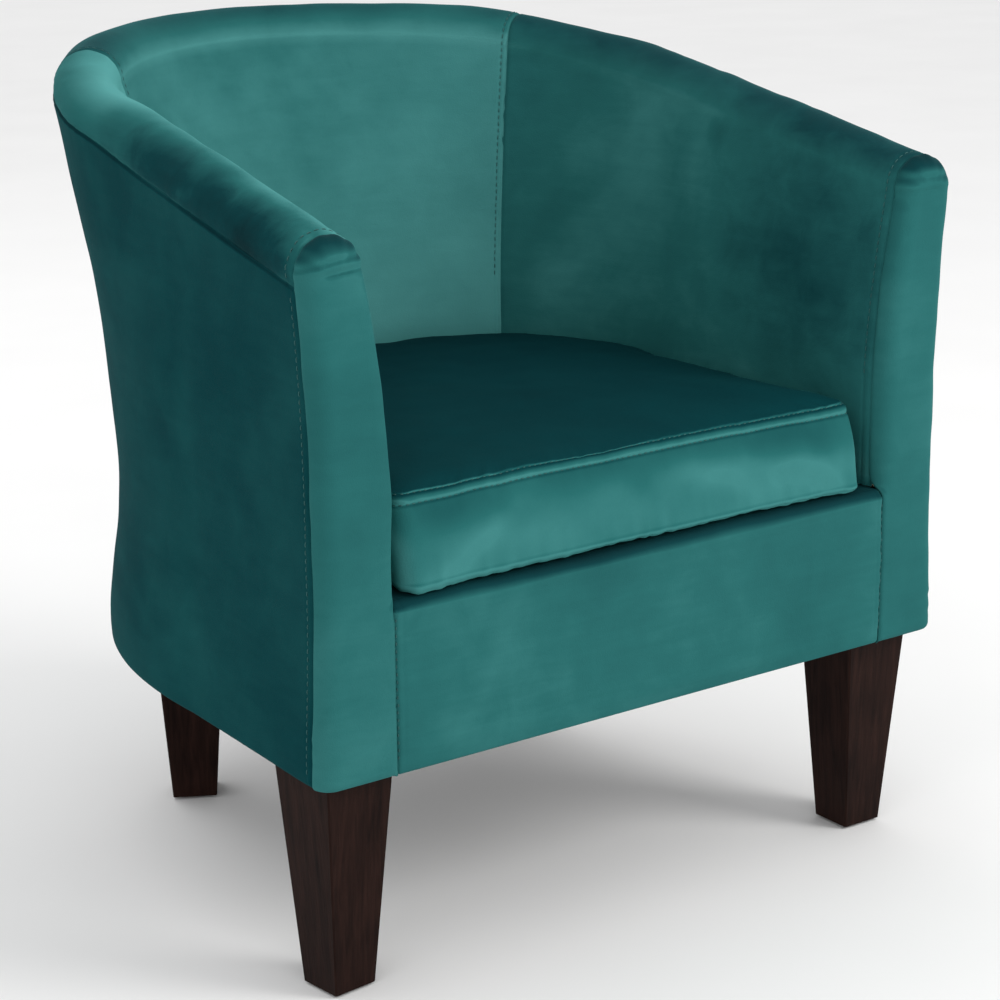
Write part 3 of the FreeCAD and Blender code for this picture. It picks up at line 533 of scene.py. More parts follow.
def metal(name, dark, light, rough=0.34):
    mat, nt, bsdf, out = node_material(name)
    v = mapped(nt, (1.0, 1.0, 6.0))
    n = noise(nt, v, 160.0, 4.0)
    nt.links.new(ramp(nt, n, [(0.3, dark), (0.7, light)]), bsdf.inputs["Base Color"])
    nt.links.new(math_node(nt, "ADD", math_node(nt, "MULTIPLY", n, 0.25), rough - 0.1), bsdf.inputs["Roughness"])
    bsdf.inputs["Metallic"].default_value = 1.0
    b = add(nt, "ShaderNodeBump", Strength=0.1, Distance=0.0003)
    nt.links.new(n, b.inputs["Height"])
    nt.links.new(b.outputs["Normal"], bsdf.inputs["Normal"])
    return mat


def moulded(name, dark, light, rough=0.45):
    mat, nt, bsdf, out = node_material(name)
    v = mapped(nt, (1.0, 1.0, 1.0))
    n = noise(nt, v, 700.0, 3.0)
    w = noise(nt, v, 60.0, 3.0)
    nt.links.new(ramp(nt, w, [(0.3, dark), (0.7, light)]), bsdf.inputs["Base Color"])
    nt.links.new(math_node(nt, "ADD", math_node(nt, "MULTIPLY", w, 0.2), rough - 0.1), bsdf.inputs["Roughness"])
    b = add(nt, "ShaderNodeBump", Strength=0.2, Distance=0.0004)
    nt.links.new(n, b.inputs["Height"])
    nt.links.new(b.outputs["Normal"], bsdf.inputs["Normal"])
    return mat


# places made lighter or darker
LEFT_SPOTS = [(-0.290, 0.032, 0.719, 0.060, 0.26), (-0.318, -0.243, 0.590, 0.055, -0.34),
              (-0.325, -0.090, 0.640, 0.045, -0.16), (-0.320, -0.175, 0.620, 0.040, -0.16),
              (-0.290, -0.225, 0.660, 0.030, 0.10)]
RIGHT_SPOTS = [(0.245, -0.229, 0.522, 0.100, -0.16), (0.250, -0.190, 0.570, 0.090, -0.06),
               (0.265, -0.095, 0.622, 0.012, -0.10), (0.285, -0.261, 0.591, 0.011, -0.12),
               (0.200, -0.002, 0.593, 0.090, 0.07)]
# copies of one velvet, each with painted light and shade set to how the light falls on that piece: inside back made
# lighter, outside and hem made darker
M_BACK = velvet("velvet_inside_back", 0.53, up=0.58, seed=0.0, patch=0.6, tilt=(0.10, 0.0, -0.35))
M_ARM_L = velvet("velvet_inside_left_arm", 0.17, up=0.10, seed=3.1, turn=0.34, spots=LEFT_SPOTS, sheen=0.05, spec=0.03)
M_ARM_R = velvet("velvet_inside_right_arm", 0.01, up=0.36, seed=3.9, patch=0.8, spots=RIGHT_SPOTS)
M_OUT = velvet("velvet_outside", -0.27, seed=5.7, patch=0.4, sheen=0.02, spec=0.02)
M_PANEL = velvet("velvet_arm_fronts", 0.01, seed=8.3, patch=0.5)
M_RAIL = velvet("velvet_front_rail", -0.02, seed=11.9, streak=(3.0, 3.0, 26.0), patch=0.6)
M_SEAT = velvet("velvet_cushion", 0.02, up=0.58, seed=14.2, streak=(5.0, 12.0, 5.0), sheen=0.03, patch=0.35,
                tilt=(0.0, -0.42, 0.0), spec=0.02)
M_HEM = velvet("velvet_hem", -0.25, up=0.0, seed=17.0)
M_THREAD = woven("thread", (0.006, 0.060, 0.060), (0.020, 0.125, 0.12), 2600.0, 0.7)
M_LEG = dyed_wood("leg_wood", (0.0040, 0.0018, 0.0014), (0.027, 0.0115, 0.0085), coat=0.0, spec=0.05)
M_PLY = dyed_wood("plywood", (0.36, 0.23, 0.12), (0.58, 0.42, 0.25), 0.7, (3.0, 40.0, 400.0), 0.0, 0.15)
M_TIMBER = dyed_wood("softwood", (0.42, 0.27, 0.14), (0.66, 0.49, 0.30), 0.65, (2.2, 50.0, 50.0), 0.0, 0.15)
M_BOARD = fluffy("fibreboard", (0.20, 0.12, 0.06), (0.34, 0.22, 0.12), 900.0, 0.85, 0.0004)
M_FOAM = fluffy("foam", (0.62, 0.55, 0.34), (0.82, 0.76, 0.55), 500.0, 0.95, 0.001)
M_WAD = fluffy("wadding", (0.70, 0.70, 0.68), (0.88, 0.88, 0.86), 150.0, 0.98, 0.003)
M_LINING = woven("lining_cloth", (0.008, 0.008, 0.009), (0.022, 0.022, 0.024), 700.0, 0.92)
M_STEEL = metal("steel", (0.42, 0.42, 0.43), (0.62, 0.62, 0.63))
M_TAPE = woven("zip_tape", (0.006, 0.045, 0.046), (0.016, 0.085, 0.083), 1500.0, 0.85)
M_NYLON = moulded("zip_plastic", (0.008, 0.050, 0.050), (0.016, 0.080, 0.078))
M_GLIDE = moulded("glide_plastic", (0.012, 0.012, 0.012), (0.035, 0.035, 0.035))

BY_SLOT = {"velvet": M_HEM, "foam": M_FOAM, "wadding": M_WAD, "lining_cloth": M_LINING, "leg_wood": M_LEG,
           "plywood": M_PLY, "timber": M_TIMBER, "fibreboard": M_BOARD, "steel": M_STEEL,
           "zip_tape": M_TAPE, "zip_plastic": M_NYLON, "glide_plastic": M_GLIDE}
for part in frame["record"]["subparts"]:
    ob = frame["nodes"][part["node"]]
    ob.data.materials.clear()
    ob.data.materials.append(BY_SLOT[part["material_slot"]])

# ---------------------------------------------------------------- walls
U_EDGE = EDGE_R / (TURN_Y - FRONT_Y)       # station of the seam behind the arm fronts
S0 = float(look(T_LEN, U_EDGE))
S_SEAM = float(look(T_LEN, SEAM_U))
side_cols = spaced(S_SEAM - S0) + S0
half_back = spaced(RIM_L - S_SEAM, end=False) + S_SEAM


def stations(which):
    """Station numbers and sides of the columns of a cover."""
    if which == "back":
        u = station_at(half_back)
        return np.concatenate([u, u[::-1][1:]]), np.concatenate([-np.ones(len(u)), np.ones(len(u) - 1)])
    u = station_at(side_cols)
    return (u, -np.ones(len(u))) if which == "left" else (u[::-1], np.ones(len(u)))


ST = {k: stations(k) for k in ("left", "back", "right")}
ARCH_Q = np.concatenate([np.linspace(0.0, 0.9, 28), [0.918, 0.934, 0.948, 0.96, 0.971, 0.981, 0.99, 0.996, 1.0]])


def seam_drop(u):
    """How far below the middle of the rim the seam under it runs."""
    return np.interp(u, [0.0, 0.25, 0.5, 0.75, 0.9, 1.0, 1.1, 1.25, 1.4, 1.6, 2.0],
                     [8.0, 9.0, 8.5, 7.5, 5.0, 2.5, 0.0, -4.0, -4.5, -2.5, -1.5])


def slanted(u, h):
    """The seam between arm and back leans: it is further forward at the seat than at the rim."""
    return u + np.exp(-((u - SEAM_U) / 0.28) ** 2) * (-0.039 + 0.046 * np.clip(h, 0, 1))


def inside_grid(us, sides):
    u0 = us[:, None]
    h = np.concatenate([np.full(8, 0.0), np.linspace(0.0, 1.0, 38)])[None, :-1]
    U = slanted(u0, h)
    zr = look(T_ZR, U)
    z = np.concatenate([np.linspace(334.8, 421.0, 9)[:-1][None] + 0 * u0, 421.0 + (zr[:, 8:] - 421.0) * h[:, 8:]], 1)
    A = place(U, sides[:, None], inner(U, z), z)
    U = slanted(u0, np.ones((1, len(ARCH_Q))))
    zr, rim = look(T_ZR, U), look(T_RIM, U)
    end = -np.degrees(np.arcsin(seam_drop(U) / RIM_R))
    a = np.radians(180.0 + (end - 180.0) * ARCH_Q[None])
    zz = zr + RIM_R * np.sin(a)
    s = np.where(a >= 0, rim + RIM_R * np.cos(a), outer(U, zz))
    return np.concatenate([A, place(U, sides[:, None], s, zz)], 1)


def outside_grid(us, sides):
    U = slanted(us[:, None], np.ones((1, 1)))
    top = look(T_ZR, U) - seam_drop(U)
    k = np.linspace(0.0, 1.0, 74)[None]
    z = np.concatenate([top - np.arange(0.0, 12.0, 1.3)[None], (top - 12.5) + (206.0 - top + 12.5) * k,
                        np.array([203.5, 201.0, 199.0, 197.3])[None] + 0 * top], 1)
    A = place(U, sides[:, None], outer(U, z), z)
    r, a = 5.2, np.radians([0, 15, 30, 45, 60, 75, 90])[None]
    B = place(U, sides[:, None], outer(U, 197.2 + 0 * a) - r * (1 - np.cos(a)), 197.2 - r * np.sin(a) + 0 * U)
    return np.concatenate([A, B], 1)


def seam_gathers(d_seam, along, seed, reach_mm=10.0, depth=0.55):
    """Small puckers that run out from a seam."""
    r = np.random.RandomState(seed)
    w = np.zeros_like(along)
    for _ in range(8):
        w += np.sin(along * 2 * math.pi / r.uniform(9.0, 26.0) + r.uniform(0, 6.28))
    return depth * w / 2.0 * np.exp(-d_seam / reach_mm)


def rim_creases(G, a0, seed):
    """Shallow creases that run up the inside over the rim."""
    r = np.random.RandomState(seed)
    out = np.zeros(G.shape[:2])
    for _ in range(7):
        s0, w, tilt, z0 = r.uniform(30, a0.max() - 30), r.uniform(6, 13), r.uniform(-0.5, 0.5), r.uniform(640, 690)
        x = (a0 - s0 - tilt * (G[..., 2] - z0)) / w
        out -= r.uniform(0.35, 0.8) * np.exp(-x * x) * np.exp(-((G[..., 2] - z0) / 34.0) ** 2)
    return out


for which, (us, sides) in ST.items():
    seed = {"left": 1, "back": 2, "right": 3}[which]
    # inside cover
    G = inside_grid(us, sides)
    N = normals(G)
    mid_i, mid_j = G.shape[0] // 2, 20
    towards = np.array([0.0, -20.0, G[mid_i, mid_j, 2]]) - G[mid_i, mid_j]
    flip = float(np.dot(N[mid_i, mid_j], towards)) < 0
    if flip:
        N = -N
    a0, a1 = run_lengths(G, 0)
    j0, j1 = run_lengths(G, 1)
    rim_part = np.clip((G[..., 2] - look(T_ZR, us)[:, None] + 30.0) / 40.0, 0, 1)
    seat_part = np.clip((G[..., 2] - 412.0) / 40.0, 0.0, 1.0)
    seat_part = seat_part * seat_part * (3 - 2 * seat_part)
    D = FULL + 0.42 * waves(G, 130.0, 11 + seed) + 0.15 * waves(G, 45.0, 21 + seed)
    D = D * (0.08 + 0.92 * seat_part)
    D += rim_part * (0.25 + 0.22 * waves(G, 90.0, 31 + seed, stretch=(1.3, 1.3, 0.6)))
    D += rim_creases(G, a0, 33 + seed)
    D -= tuck(j1, 6.0, 3.2)
    D -= seam_gathers(j1, a0, 41 + seed, 9.0, 0.35)
    for k, d in ((0, a0), (1, a1)):
        is_front = (which == "left" and k == 0) or (which == "right" and k == 1)
        if is_front:
            D -= tuck(d, 3.6, 2.6)
            D += 0.6 * np.exp(-((d - 12.0) / 8.0) ** 2) * rim_part
            D -= groove(d - 8.5, 1.5, 0.7)
            D += seam_gathers(d, j0, 51 + seed, 12.0, 0.35)
        else:
            D -= tuck(d, 4.5, 2.5)
            D += seam_gathers(d, j0, 61 + seed, 12.0, 0.22)
            if which == "back":
                D -= groove(d - 6.0, 1.4, 0.55)
    base = G
    D = np.maximum(D, LOWEST)
    G = G + N * D[..., None]
    N2 = normals(G) * (-1 if flip else 1)
    GE = allowance(G, base, ((0, False), (0, True), (1, True)))
    ob = cloth_piece("inside_cover_" + which + "_cloth", GE, normals(GE) * (-1 if flip else 1), {"back": M_BACK, "left": M_ARM_L, "right": M_ARM_R}[which],
                     flip=not flip)
    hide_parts("inside_cover_" + which)
    if which == "back":
        for end in (False, True):
            p, q = offset_line(G, N2, 0, end, 6.0)
            stitch("stitches_back", p[14:], q[14:])
    else:
        p, q = offset_line(G, N2, 0, which == "right", 8.5)
        stitch("stitches_arm_" + which, p[10:], q[10:])
    # outside cover
    G = outside_grid(us, sides)
    N = normals(G)
    away = G[mid_i, mid_j] - np.array([0.0, -20.0, G[mid_i, mid_j, 2]])
    flip = float(np.dot(N[mid_i, mid_j], away)) < 0
    if flip:
        N = -N
    a0, a1 = run_lengths(G, 0)
    j0, j1 = run_lengths(G, 1)
    low = np.clip((G[..., 2] - 192.0) / 14.0, 0, 1)
    D = FULL * low + (0.55 * waves(G, 190.0, 71 + seed) + 0.16 * waves(G, 60.0, 81 + seed)) * low
    D -= tuck(j0, 5.0, 3.0)
    D += seam_gathers(j0, a0, 91 + seed, 14.0, 0.22)
    for k, d in ((0, a0), (1, a1)):
        is_front = (which == "left" and k == 0) or (which == "right" and k == 1)
        if is_front:
            D -= tuck(d, 3.2, 2.6)
            D -= groove(d - 6.0, 1.4, 0.5)
            D += seam_gathers(d, j0, 101 + seed, 14.0, 0.25)
        else:
            D -= tuck(d, 4.5, 2.4)
            D += seam_gathers(d, j0, 111 + seed, 12.0, 0.22)
    base = G
    D = np.maximum(D, LOWEST)
    G = G + N * D[..., None]
    N2 = normals(G) * (-1 if flip else 1)
    GE = allowance(G, base, ((0, False), (0, True), (1, False)))
    ob = cloth_piece("outside_cover_" + which + "_cloth", GE, normals(GE) * (-1 if flip else 1), M_OUT, flip=not flip)
    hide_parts("outside_cover_" + which)
    if which != "back":
        p, q = offset_line(G, N2, 0, which == "right", 6.0)
        stitch("stitches_arm_" + which, p[3:-8], q[3:-8])

# ---------------------------------------------------------------- arm front panels
RAIL_SEAM = 259.5          # the seam between arm fronts and front rail
E_RIM, E_ZR = float(look(T_RIM, U_EDGE)), float(look(T_ZR, U_EDGE))


def beside_rail(z):
    return 1.0 / (1.0 + np.exp((z - 334.0) / 2.6))


def polyline_distance(P, line):
    """Distance from 2-D points P (n,2) to a polyline."""
    best = np.full(P.shape[0], 1e9)
    for a, b in zip(line[:-1], line[1:]):
        ab = b - a
        t = np.clip(((P - a) @ ab) / (ab @ ab + 1e-12), 0, 1)
        d = np.linalg.norm(P - (a + t[:, None] * ab), axis=1)
        best = np.minimum(best, d)
    return best


def weld(P, faces):
    """Merges points that coincide and drops faces that vanish."""
    key = np.round(P * 40.0).astype(np.int64)
    _, first, inv = np.unique(key, axis=0, return_index=True, return_inverse=True)
    inv = inv.reshape(-1)
    out = []
    for f in faces:
        g = [int(inv[i]) for i in f]
        g = [a for a, b in zip(g, g[1:] + g[:1]) if a != b]
        if len(set(g)) == len(g) and len(g) > 2:
            out.append(g)
    return P[first], out, first


def mesh_normals(V, faces):
    N = np.zeros_like(V)
    for f in faces:
        p = V[f]
        n = np.cross(p[2] - p[0], p[-1] - p[1])
        N[f] += n
    return N / (np.linalg.norm(N, axis=1, keepdims=True) + 1e-12)


def shell(name, V, faces, N, thick, material):
    """Closed piece of cloth from any open mesh."""
    k = len(V)
    edges = {}
    for f in faces:
        for a, b in zip(f, f[1:] + f[:1]):
            edges[(a, b)] = True
    rim = [[b, a, a + k, b + k] for (a, b) in edges if (b, a) not in edges]
    back = [[i + k for i in f[::-1]] for f in faces]
    return make_mesh(name, np.concatenate([V, V - N * thick]), faces + back + rim, material, "chair")


def panel_grid(grow, edge, tucked=True):
    """Points (x, y, z) of an arm front: rows from the inner seam round to the outer one, then a fan
    over the round head. grow insets the whole outline."""
    r_arch = RIM_R - grow
    corner_d = edge * (1 - np.cos(np.radians(np.linspace(0, 90, 12))))
    rows, dist = [], []
    zs = np.concatenate([np.array([192.0, 193.2, 194.8, 197.0, 200.0, 204.0]) + (2.6 if grow else 0.0),
                         np.linspace(209.0, 324.0, 24), np.linspace(326.0, 342.0, 13), np.linspace(346.0, E_ZR, 52)])
    fans = np.radians(np.concatenate([np.linspace(4, 88, 22), [90.0]]))
    tuck_in = ((2.9, 2.4), (0.9, 2.0), (-0.4, 1.1)) if tucked else ()

    def profile(half):
        d = np.concatenate([corner_d, np.linspace(edge, half, 10)[1:]])
        y = edge - np.sqrt(np.clip(edge ** 2 - np.clip(edge - d, 0, None) ** 2, 0, None))
        return d, y

    for z in zs:
        a, b = float(inner(U_EDGE, z)) + grow, float(outer(U_EDGE, z)) - grow
        half = 0.5 * (b - a)
        d, y = profile(half)
        w = float(beside_rail(z))
        flat_a = RAIL_SEAM + grow
        left_x, left_y = (a + d), y.copy()
        k = d / half
        fx, fy = flat_a + (a + half - flat_a) * k, np.zeros_like(y)
        left_x, left_y = left_x * (1 - w) + fx * w, left_y * (1 - w) + fy * w
        row = [(x, yy, z) for x, yy in zip(left_x, left_y)] + [(b - dd, yy, z) for dd, yy in zip(d[::-1][1:], y[::-1][1:])]
        if tucked:
            head = [((a + dx) * (1 - w) + (flat_a - 2.6) * w, (edge + dy) * (1 - w) + 2.8 * w, z) for dy, dx in tuck_in[:2]]
            tail = [(b - dx, edge + dy, z) for dy, dx in tuck_in[:2][::-1]]
            row = head + row + tail
        rows.append(row)
    for a in fans:
        c, s = math.cos(a), math.sin(a)
        d, y = profile(r_arch)
        row = [(E_RIM - (r_arch - dd) * c, yy, E_ZR + (r_arch - dd) * s) for dd, yy in zip(d, y)]
        row += [(E_RIM + (r_arch - dd) * c, yy, E_ZR + (r_arch - dd) * s) for dd, yy in zip(d[::-1][1:], y[::-1][1:])]
        if tucked:
            head = [(E_RIM - (r_arch - dx) * c, edge + dy, E_ZR + (r_arch - dx) * s) for dy, dx in tuck_in[:2]]
            tail = [(E_RIM + (r_arch - dx) * c, edge + dy, E_ZR + (r_arch - dx) * s) for dy, dx in tuck_in[:2][::-1]]
            row = head + row + tail
        rows.append(row)
    return np.array(rows)


def front_panel(side):
    R = panel_grid(0.0, EDGE_R)
    ni, nj = R.shape[:2]
    lead = 2
    # distance along the surface from the seam
    seg = np.linalg.norm(np.diff(R, axis=1), axis=-1)
    run = np.concatenate([np.zeros((ni, 1)), np.cumsum(seg, axis=1)], 1)
    from_in = run - run[:, lead:lead + 1]
    from_out = run[:, nj - 1 - lead:nj - lead] - run
    mid = (nj - 1) // 2
    d = np.where(np.arange(nj)[None] <= mid, from_in, from_out)
    P = R.reshape(-1, 3).copy()
    P[:, 0] *= side
    P[:, 1] += FRONT_Y
    faces = grid_faces(ni, nj)
    V, F, first = weld(P, faces)
    N = mesh_normals(V, F)
    if N[:, 1].sum() > 0:
        F = [f[::-1] for f in F]
        N = -N
    x, y, z = np.abs(V[:, 0]), V[:, 1], V[:, 2]
    d = d.reshape(-1)[first]
    seed = 5 if side > 0 else 6
    puff = FULL + 1.2 * (1 - np.exp(-np.clip(d - 8.0, 0, None) / 18.0)) + 0.30 * waves(V, 90.0, 120 + seed) + 0.13 * waves(V, 34.0, 130 + seed)
    puff -= groove(np.clip(d, 0, None), 1.9, 1.7)
    w_rail = beside_rail(z) * (x < 300.0)
    puff -= w_rail * tuck(np.clip(d, 0, None), 4.5, 1.6)
    # gathers that fan from the round head
    head = np.clip((z - E_ZR + 8.0) / 20.0, 0, 1)
    ang = np.arctan2(z - E_ZR + 6.0, x - E_RIM)
    puff += head * np.exp(-np.clip(d, 0, None) / 13.0) * 0.55 * np.sin(ang * 15.0 + seed) * np.clip(d / 3.0, 0, 1)
    for z0, tilt, bow, depth in ((598.0 if side < 0 else 594.0, -0.07, 3.2, 0.95), (607.0, -0.05, 4.5, 0.6),
                                 (587.0, -0.10, 2.0, 0.4), (224.0, 0.05, -2.5, 0.8), (211.0, 0.12, -1.5, 0.5)):
        t = (x - 297.0) / 34.0
        zc = z0 + tilt * 34.0 * t * (1 if side < 0 else -1) - bow * t * t
        fade = np.exp(-(t / 1.2) ** 4)
        puff -= depth * fade * np.exp(-((z - zc) / 2.6) ** 2)
        puff += 0.55 * depth * fade * np.exp(-((z - zc - 5.0) / 3.6) ** 2)
    # pulls towards the bottom corner
    for k in range(3):
        x0 = 264.0 + 12.0 * k
        dd = np.abs((x - x0) * 0.62 + (z - 196.0) * 0.78 * (1 if k % 2 else -1)) / 2.6
        puff += 0.32 * np.exp(-dd ** 2) * np.exp(-((z - 205.0) / 20.0) ** 2)
    puff *= np.clip((z - 191.0) / 6.0, 0, 1)
    puff -= corner(np.clip(z - 191.8, 0, None), 5.0)
    V = V + N * puff[:, None]
    N2 = mesh_normals(V, F)
    word = "right" if side > 0 else "left"
    ob = shell("arm_front_%s_cloth" % word, V, F, N2, 1.4, M_PANEL)
    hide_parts("arm_front_cover_" + word)
    # the wadding behind it
    R = panel_grid(4.5, 11.0, tucked=False)
    ni, nj = R.shape[:2]
    R[..., 1] = np.minimum(R[..., 1] + 2.4, 10.0)
    B = R.copy()
    B[..., 1] = 10.4
    idx = np.arange(ni * nj).reshape(ni, nj)
    P = np.concatenate([R.reshape(-1, 3), B.reshape(-1, 3)])
    P[:, 0] *= side
    P[:, 1] += FRONT_Y
    faces = grid_faces(ni, nj) + grid_faces(ni, nj, True, first=ni * nj)
    loop = [int(q) for q in list(idx[:, 0]) + list(idx[-1, 1:]) + list(idx[::-1, -1][1:]) + list(idx[0, ::-1][1:])]
    faces += [[b, a, a + ni * nj, b + ni * nj] for a, b in zip(loop[:-1], loop[1:])]
    V, F, _ = weld(P, faces)
    pad = make_mesh("arm_front_wadding_" + word, V, F, M_WAD, "chair")
    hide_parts("arm_front_pad_" + word)


front_panel(-1)
front_panel(1)

# ---------------------------------------------------------------- front rail cover
RAIL_R = 9.0
rail_top = DECK_Z - 0.7
prof = [(FRONT_Y + 4.6, 192.2), (FRONT_Y + 3.0, 192.3), (FRONT_Y + 1.6, 192.9), (FRONT_Y + 0.6, 194.0), (FRONT_Y, 196.2)]
prof += [(FRONT_Y, z) for z in np.linspace(200.0, rail_top - RAIL_R - 1.0, 26)]
prof += [(FRONT_Y + RAIL_R * (1 - math.cos(a)), rail_top - RAIL_R + RAIL_R * math.sin(a)) for a in np.radians(np.linspace(0, 90, 12))]
prof += [(FRONT_Y + y, rail_top) for y in (13.0, 18.0, 24.0, 31.0, 39.0, 47.0)]
half_cols = spaced(500.0, coarse=7.0, start=True, end=True) / 500.0
G = np.array([[((2 * k - 1) * RAIL_SEAM, y, z) for y, z in prof] for k in half_cols])
N = normals(G)
flip = N[len(half_cols) // 2, 15, 1] > 0
if flip:
    N = -N
a0, a1 = run_lengths(G, 0)
j0, j1 = run_lengths(G, 1)
edge_d = np.minimum(a0, a1)
upper = np.clip((G[..., 2] - 196.0) / 10.0, 0, 1)
D = (0.8 + 1.4 * (1 - np.exp(-edge_d / 30.0))) * upper * np.clip(j1 / 20.0, 0, 1)
D += 0.40 * waves(G, 150.0, 141, stretch=(0.6, 1.0, 1.5)) * upper + 0.16 * waves(G, 40.0, 142, stretch=(0.6, 1, 1.6)) * upper
D -= tuck(edge_d, 4.0, 2.6)
D -= groove(edge_d - 6.5, 1.4, 0.35) * upper
D += seam_gathers(edge_d, j0, 143, 16.0, 0.30) * upper
G = G + N * D[..., None]
# the seam allowance turns in behind the arm fronts
first, last = G[:1].copy(), G[-1:].copy()
first[..., 0] -= 3.0
last[..., 0] += 3.0
first -= N[:1] * 1.0
last -= N[-1:] * 1.0
G = np.concatenate([first, G, last], 0)
N = normals(G) * (-1 if flip else 1)
rail = cloth_piece("front_rail_cloth", G, N, M_RAIL, flip=not flip)
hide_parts("front_rail_cover")
for end in (False, True):
    p, q = offset_line(G, N, 0, end, 4.8)
    stitch("stitches_rail", p[5:34], q[5:34], long=2.4, gap=3.6, r=0.5, lift=0.35)

# ---------------------------------------------------------------- seat cushion
C_TOP, C_LOW = 411.0, 338.5
N_AROUND = 288


def cushion_outline(y_front, inset, corner_r):
    """Closed outline of the cushion, starting at the middle of the front."""
    u0 = max((y_front - FRONT_Y) / (TURN_Y - FRONT_Y), 0.0)
    us = np.concatenate([np.linspace(u0, 1.0, 40), np.linspace(1.0, 2.0, 60)[1:]])
    half = [np.array(flat_spot(u, 1, reach(CUSHION, u) - inset)) for u in us]
    half[0][1] = y_front
    xs = half[0][0]
    # round the front corner
    keep = [p for p in half if p[1] > y_front + corner_r]
    c = np.array([xs - corner_r, y_front + corner_r])
    arc = [c + corner_r * np.array([math.sin(a), -math.cos(a)]) for a in np.radians(np.linspace(0, 90, 10))]
    right_half = [np.array([x, y_front]) for x in np.linspace(0, xs - corner_r, 30)[:-1]] + arc + keep
    left_half = [np.array([-p[0], p[1]]) for p in right_half[::-1]][1:-1]
    pts = np.array(right_half + left_half + [right_half[0]])
    s = np.concatenate([[0], np.cumsum(np.linalg.norm(np.diff(pts, axis=0), axis=1))])
    t = np.linspace(0, s[-1], N_AROUND + 1)[:-1]
    return np.stack([np.interp(t, s, pts[:, 0]), np.interp(t, s, pts[:, 1])], 1)


def cushion_rings():
    """Rings from the middle of the underside, round the boxing, to the middle of the top."""
    rings, tags = [], []
    mid = np.array([0.0, -45.0])

    def front(z):
        k = (z - C_LOW) / (C_TOP - C_LOW)
        return -304.5 + 21.5 * k

    low = cushion_outline(front(C_LOW), 6.0, 16.0)
    for k in np.concatenate([[0.02], np.linspace(0.08, 0.97, 34)]):
        rings.append([(p[0], p[1], C_LOW - 2.6 * (1 - k ** 6)) for p in mid + (low - mid) * k])
        tags.append("bottom")
    for z in np.linspace(C_LOW, C_TOP, 15):
        k = (z - C_LOW) / (C_TOP - C_LOW)
        belly = math.sin(math.pi * k)
        o = cushion_outline(front(z) - 1.5 * belly, 6.5 - 1.5 * belly + 2.5 * k, 16.0 - 3.0 * k)
        rings.append([(p[0], p[1], z) for p in o])
        tags.append("side")
    high = cushion_outline(front(C_TOP), 9.0, 13.0)
    for k in np.linspace(0.985, 0.02, 42):
        rise = 12.0 * (1 - k ** 2.6) ** 0.9
        rings.append([(p[0], p[1], C_TOP + rise) for p in mid + (high - mid) * k])
        tags.append("top")
    return np.array(rings).transpose(1, 0, 2), tags        # around, ring, xyz


CG, tags = cushion_rings()
ni, nj = CG.shape[:2]
REST = CG.copy()


def closed_ring_mesh(name, G):
    n1, n2 = G.shape[:2]
    v = G.reshape(-1, 3).tolist()
    v.append(G[:, 0].mean(axis=0).tolist())
    v.append(G[:, -1].mean(axis=0).tolist())
    f = grid_faces(n1, n2, wrap=True)
    a, b = n1 * n2, n1 * n2 + 1
    for i in range(n1):
        i2 = (i + 1) % n1
        f.append([i * n2, a, i2 * n2])
        f.append([i * n2 + n2 - 1, i2 * n2 + n2 - 1, b])
    return v, f


# swell the case with air pressure, then hold the movement to a few millimetres
v, f = closed_ring_mesh("sim", CG)
me = bpy.data.meshes.new("cushion_sim")
me.from_pydata((np.array(v) * 0.001).tolist(), [], f)
me.update()
sim = bpy.data.objects.new("cushion_sim", me)
bpy.context.scene.collection.objects.link(sim)
md = sim.modifiers.new("cloth", "CLOTH")
st = md.settings
st.quality = 5
st.mass = 0.3
st.tension_stiffness = st.compression_stiffness = 12.0
st.shear_stiffness = 6.0
st.bending_stiffness = 0.6
st.use_pressure = True
st.uniform_pressure_force = 4.0
st.effector_weights.gravity = 0.0
md.point_cache.frame_start, md.point_cache.frame_end = 1, 20
md.collision_settings.use_collision = False
for fr in range(1, 21):
    bpy.context.scene.frame_set(fr)
dg = bpy.context.evaluated_depsgraph_get()
ev = sim.evaluated_get(dg)
em = ev.to_mesh()
co = np.empty(len(em.vertices) * 3)
em.vertices.foreach_get("co", co)
ev.to_mesh_clear()
co = co.reshape(-1, 3)[: ni * nj].reshape(ni, nj, 3) * 1000.0
move = co - CG
ln = np.linalg.norm(move, axis=-1, keepdims=True)
print("cushion swells up to", round(float(ln.max()), 2), "mm, mean", round(float(ln.mean()), 2))
move *= np.minimum(1.0, 6.0 / (ln + 1e-9))
move[~np.isfinite(move)] = 0.0
# the wadding under the cloth evens out the small crinkles
for _ in range(3):
    move = 0.5 * move + 0.25 * (np.roll(move, 1, 0) + np.roll(move, -1, 0))
    move[:, 1:-1] = 0.5 * move[:, 1:-1] + 0.25 * (move[:, :-2] + move[:, 2:])
move *= 0.85
CG = CG + move
bpy.data.objects.remove(sim)
bpy.context.scene.frame_set(1)

# the case stays on the deck and between the arms
CG[..., 2] = np.maximum(CG[..., 2], 335.6)
# it has been pushed against the left arm at the front
CG[..., 0] -= 4.0 * np.clip((-30.0 - CG[..., 1]) / 270.0, 0, 1)
tags = np.array(tags)
side_first = int(np.argmax(tags == "side"))
side_last = int(nj - 1 - np.argmax(tags[::-1] == "side"))


def resample(G, js):
    """Rings at fractional ring numbers, by Catmull-Rom."""
    out = []
    n = G.shape[1]
    for x in js:
        i = int(min(max(math.floor(x), 0), n - 2))
        t = x - i
        p0, p1, p2, p3 = G[:, max(i - 1, 0)], G[:, i], G[:, i + 1], G[:, min(i + 2, n - 1)]
        out.append(0.5 * ((2 * p1) + (-p0 + p2) * t + (2 * p0 - 5 * p1 + 4 * p2 - p3) * t * t + (-p0 + 3 * p1 - 3 * p2 + p3) * t ** 3))
    return np.stack(out, 1)


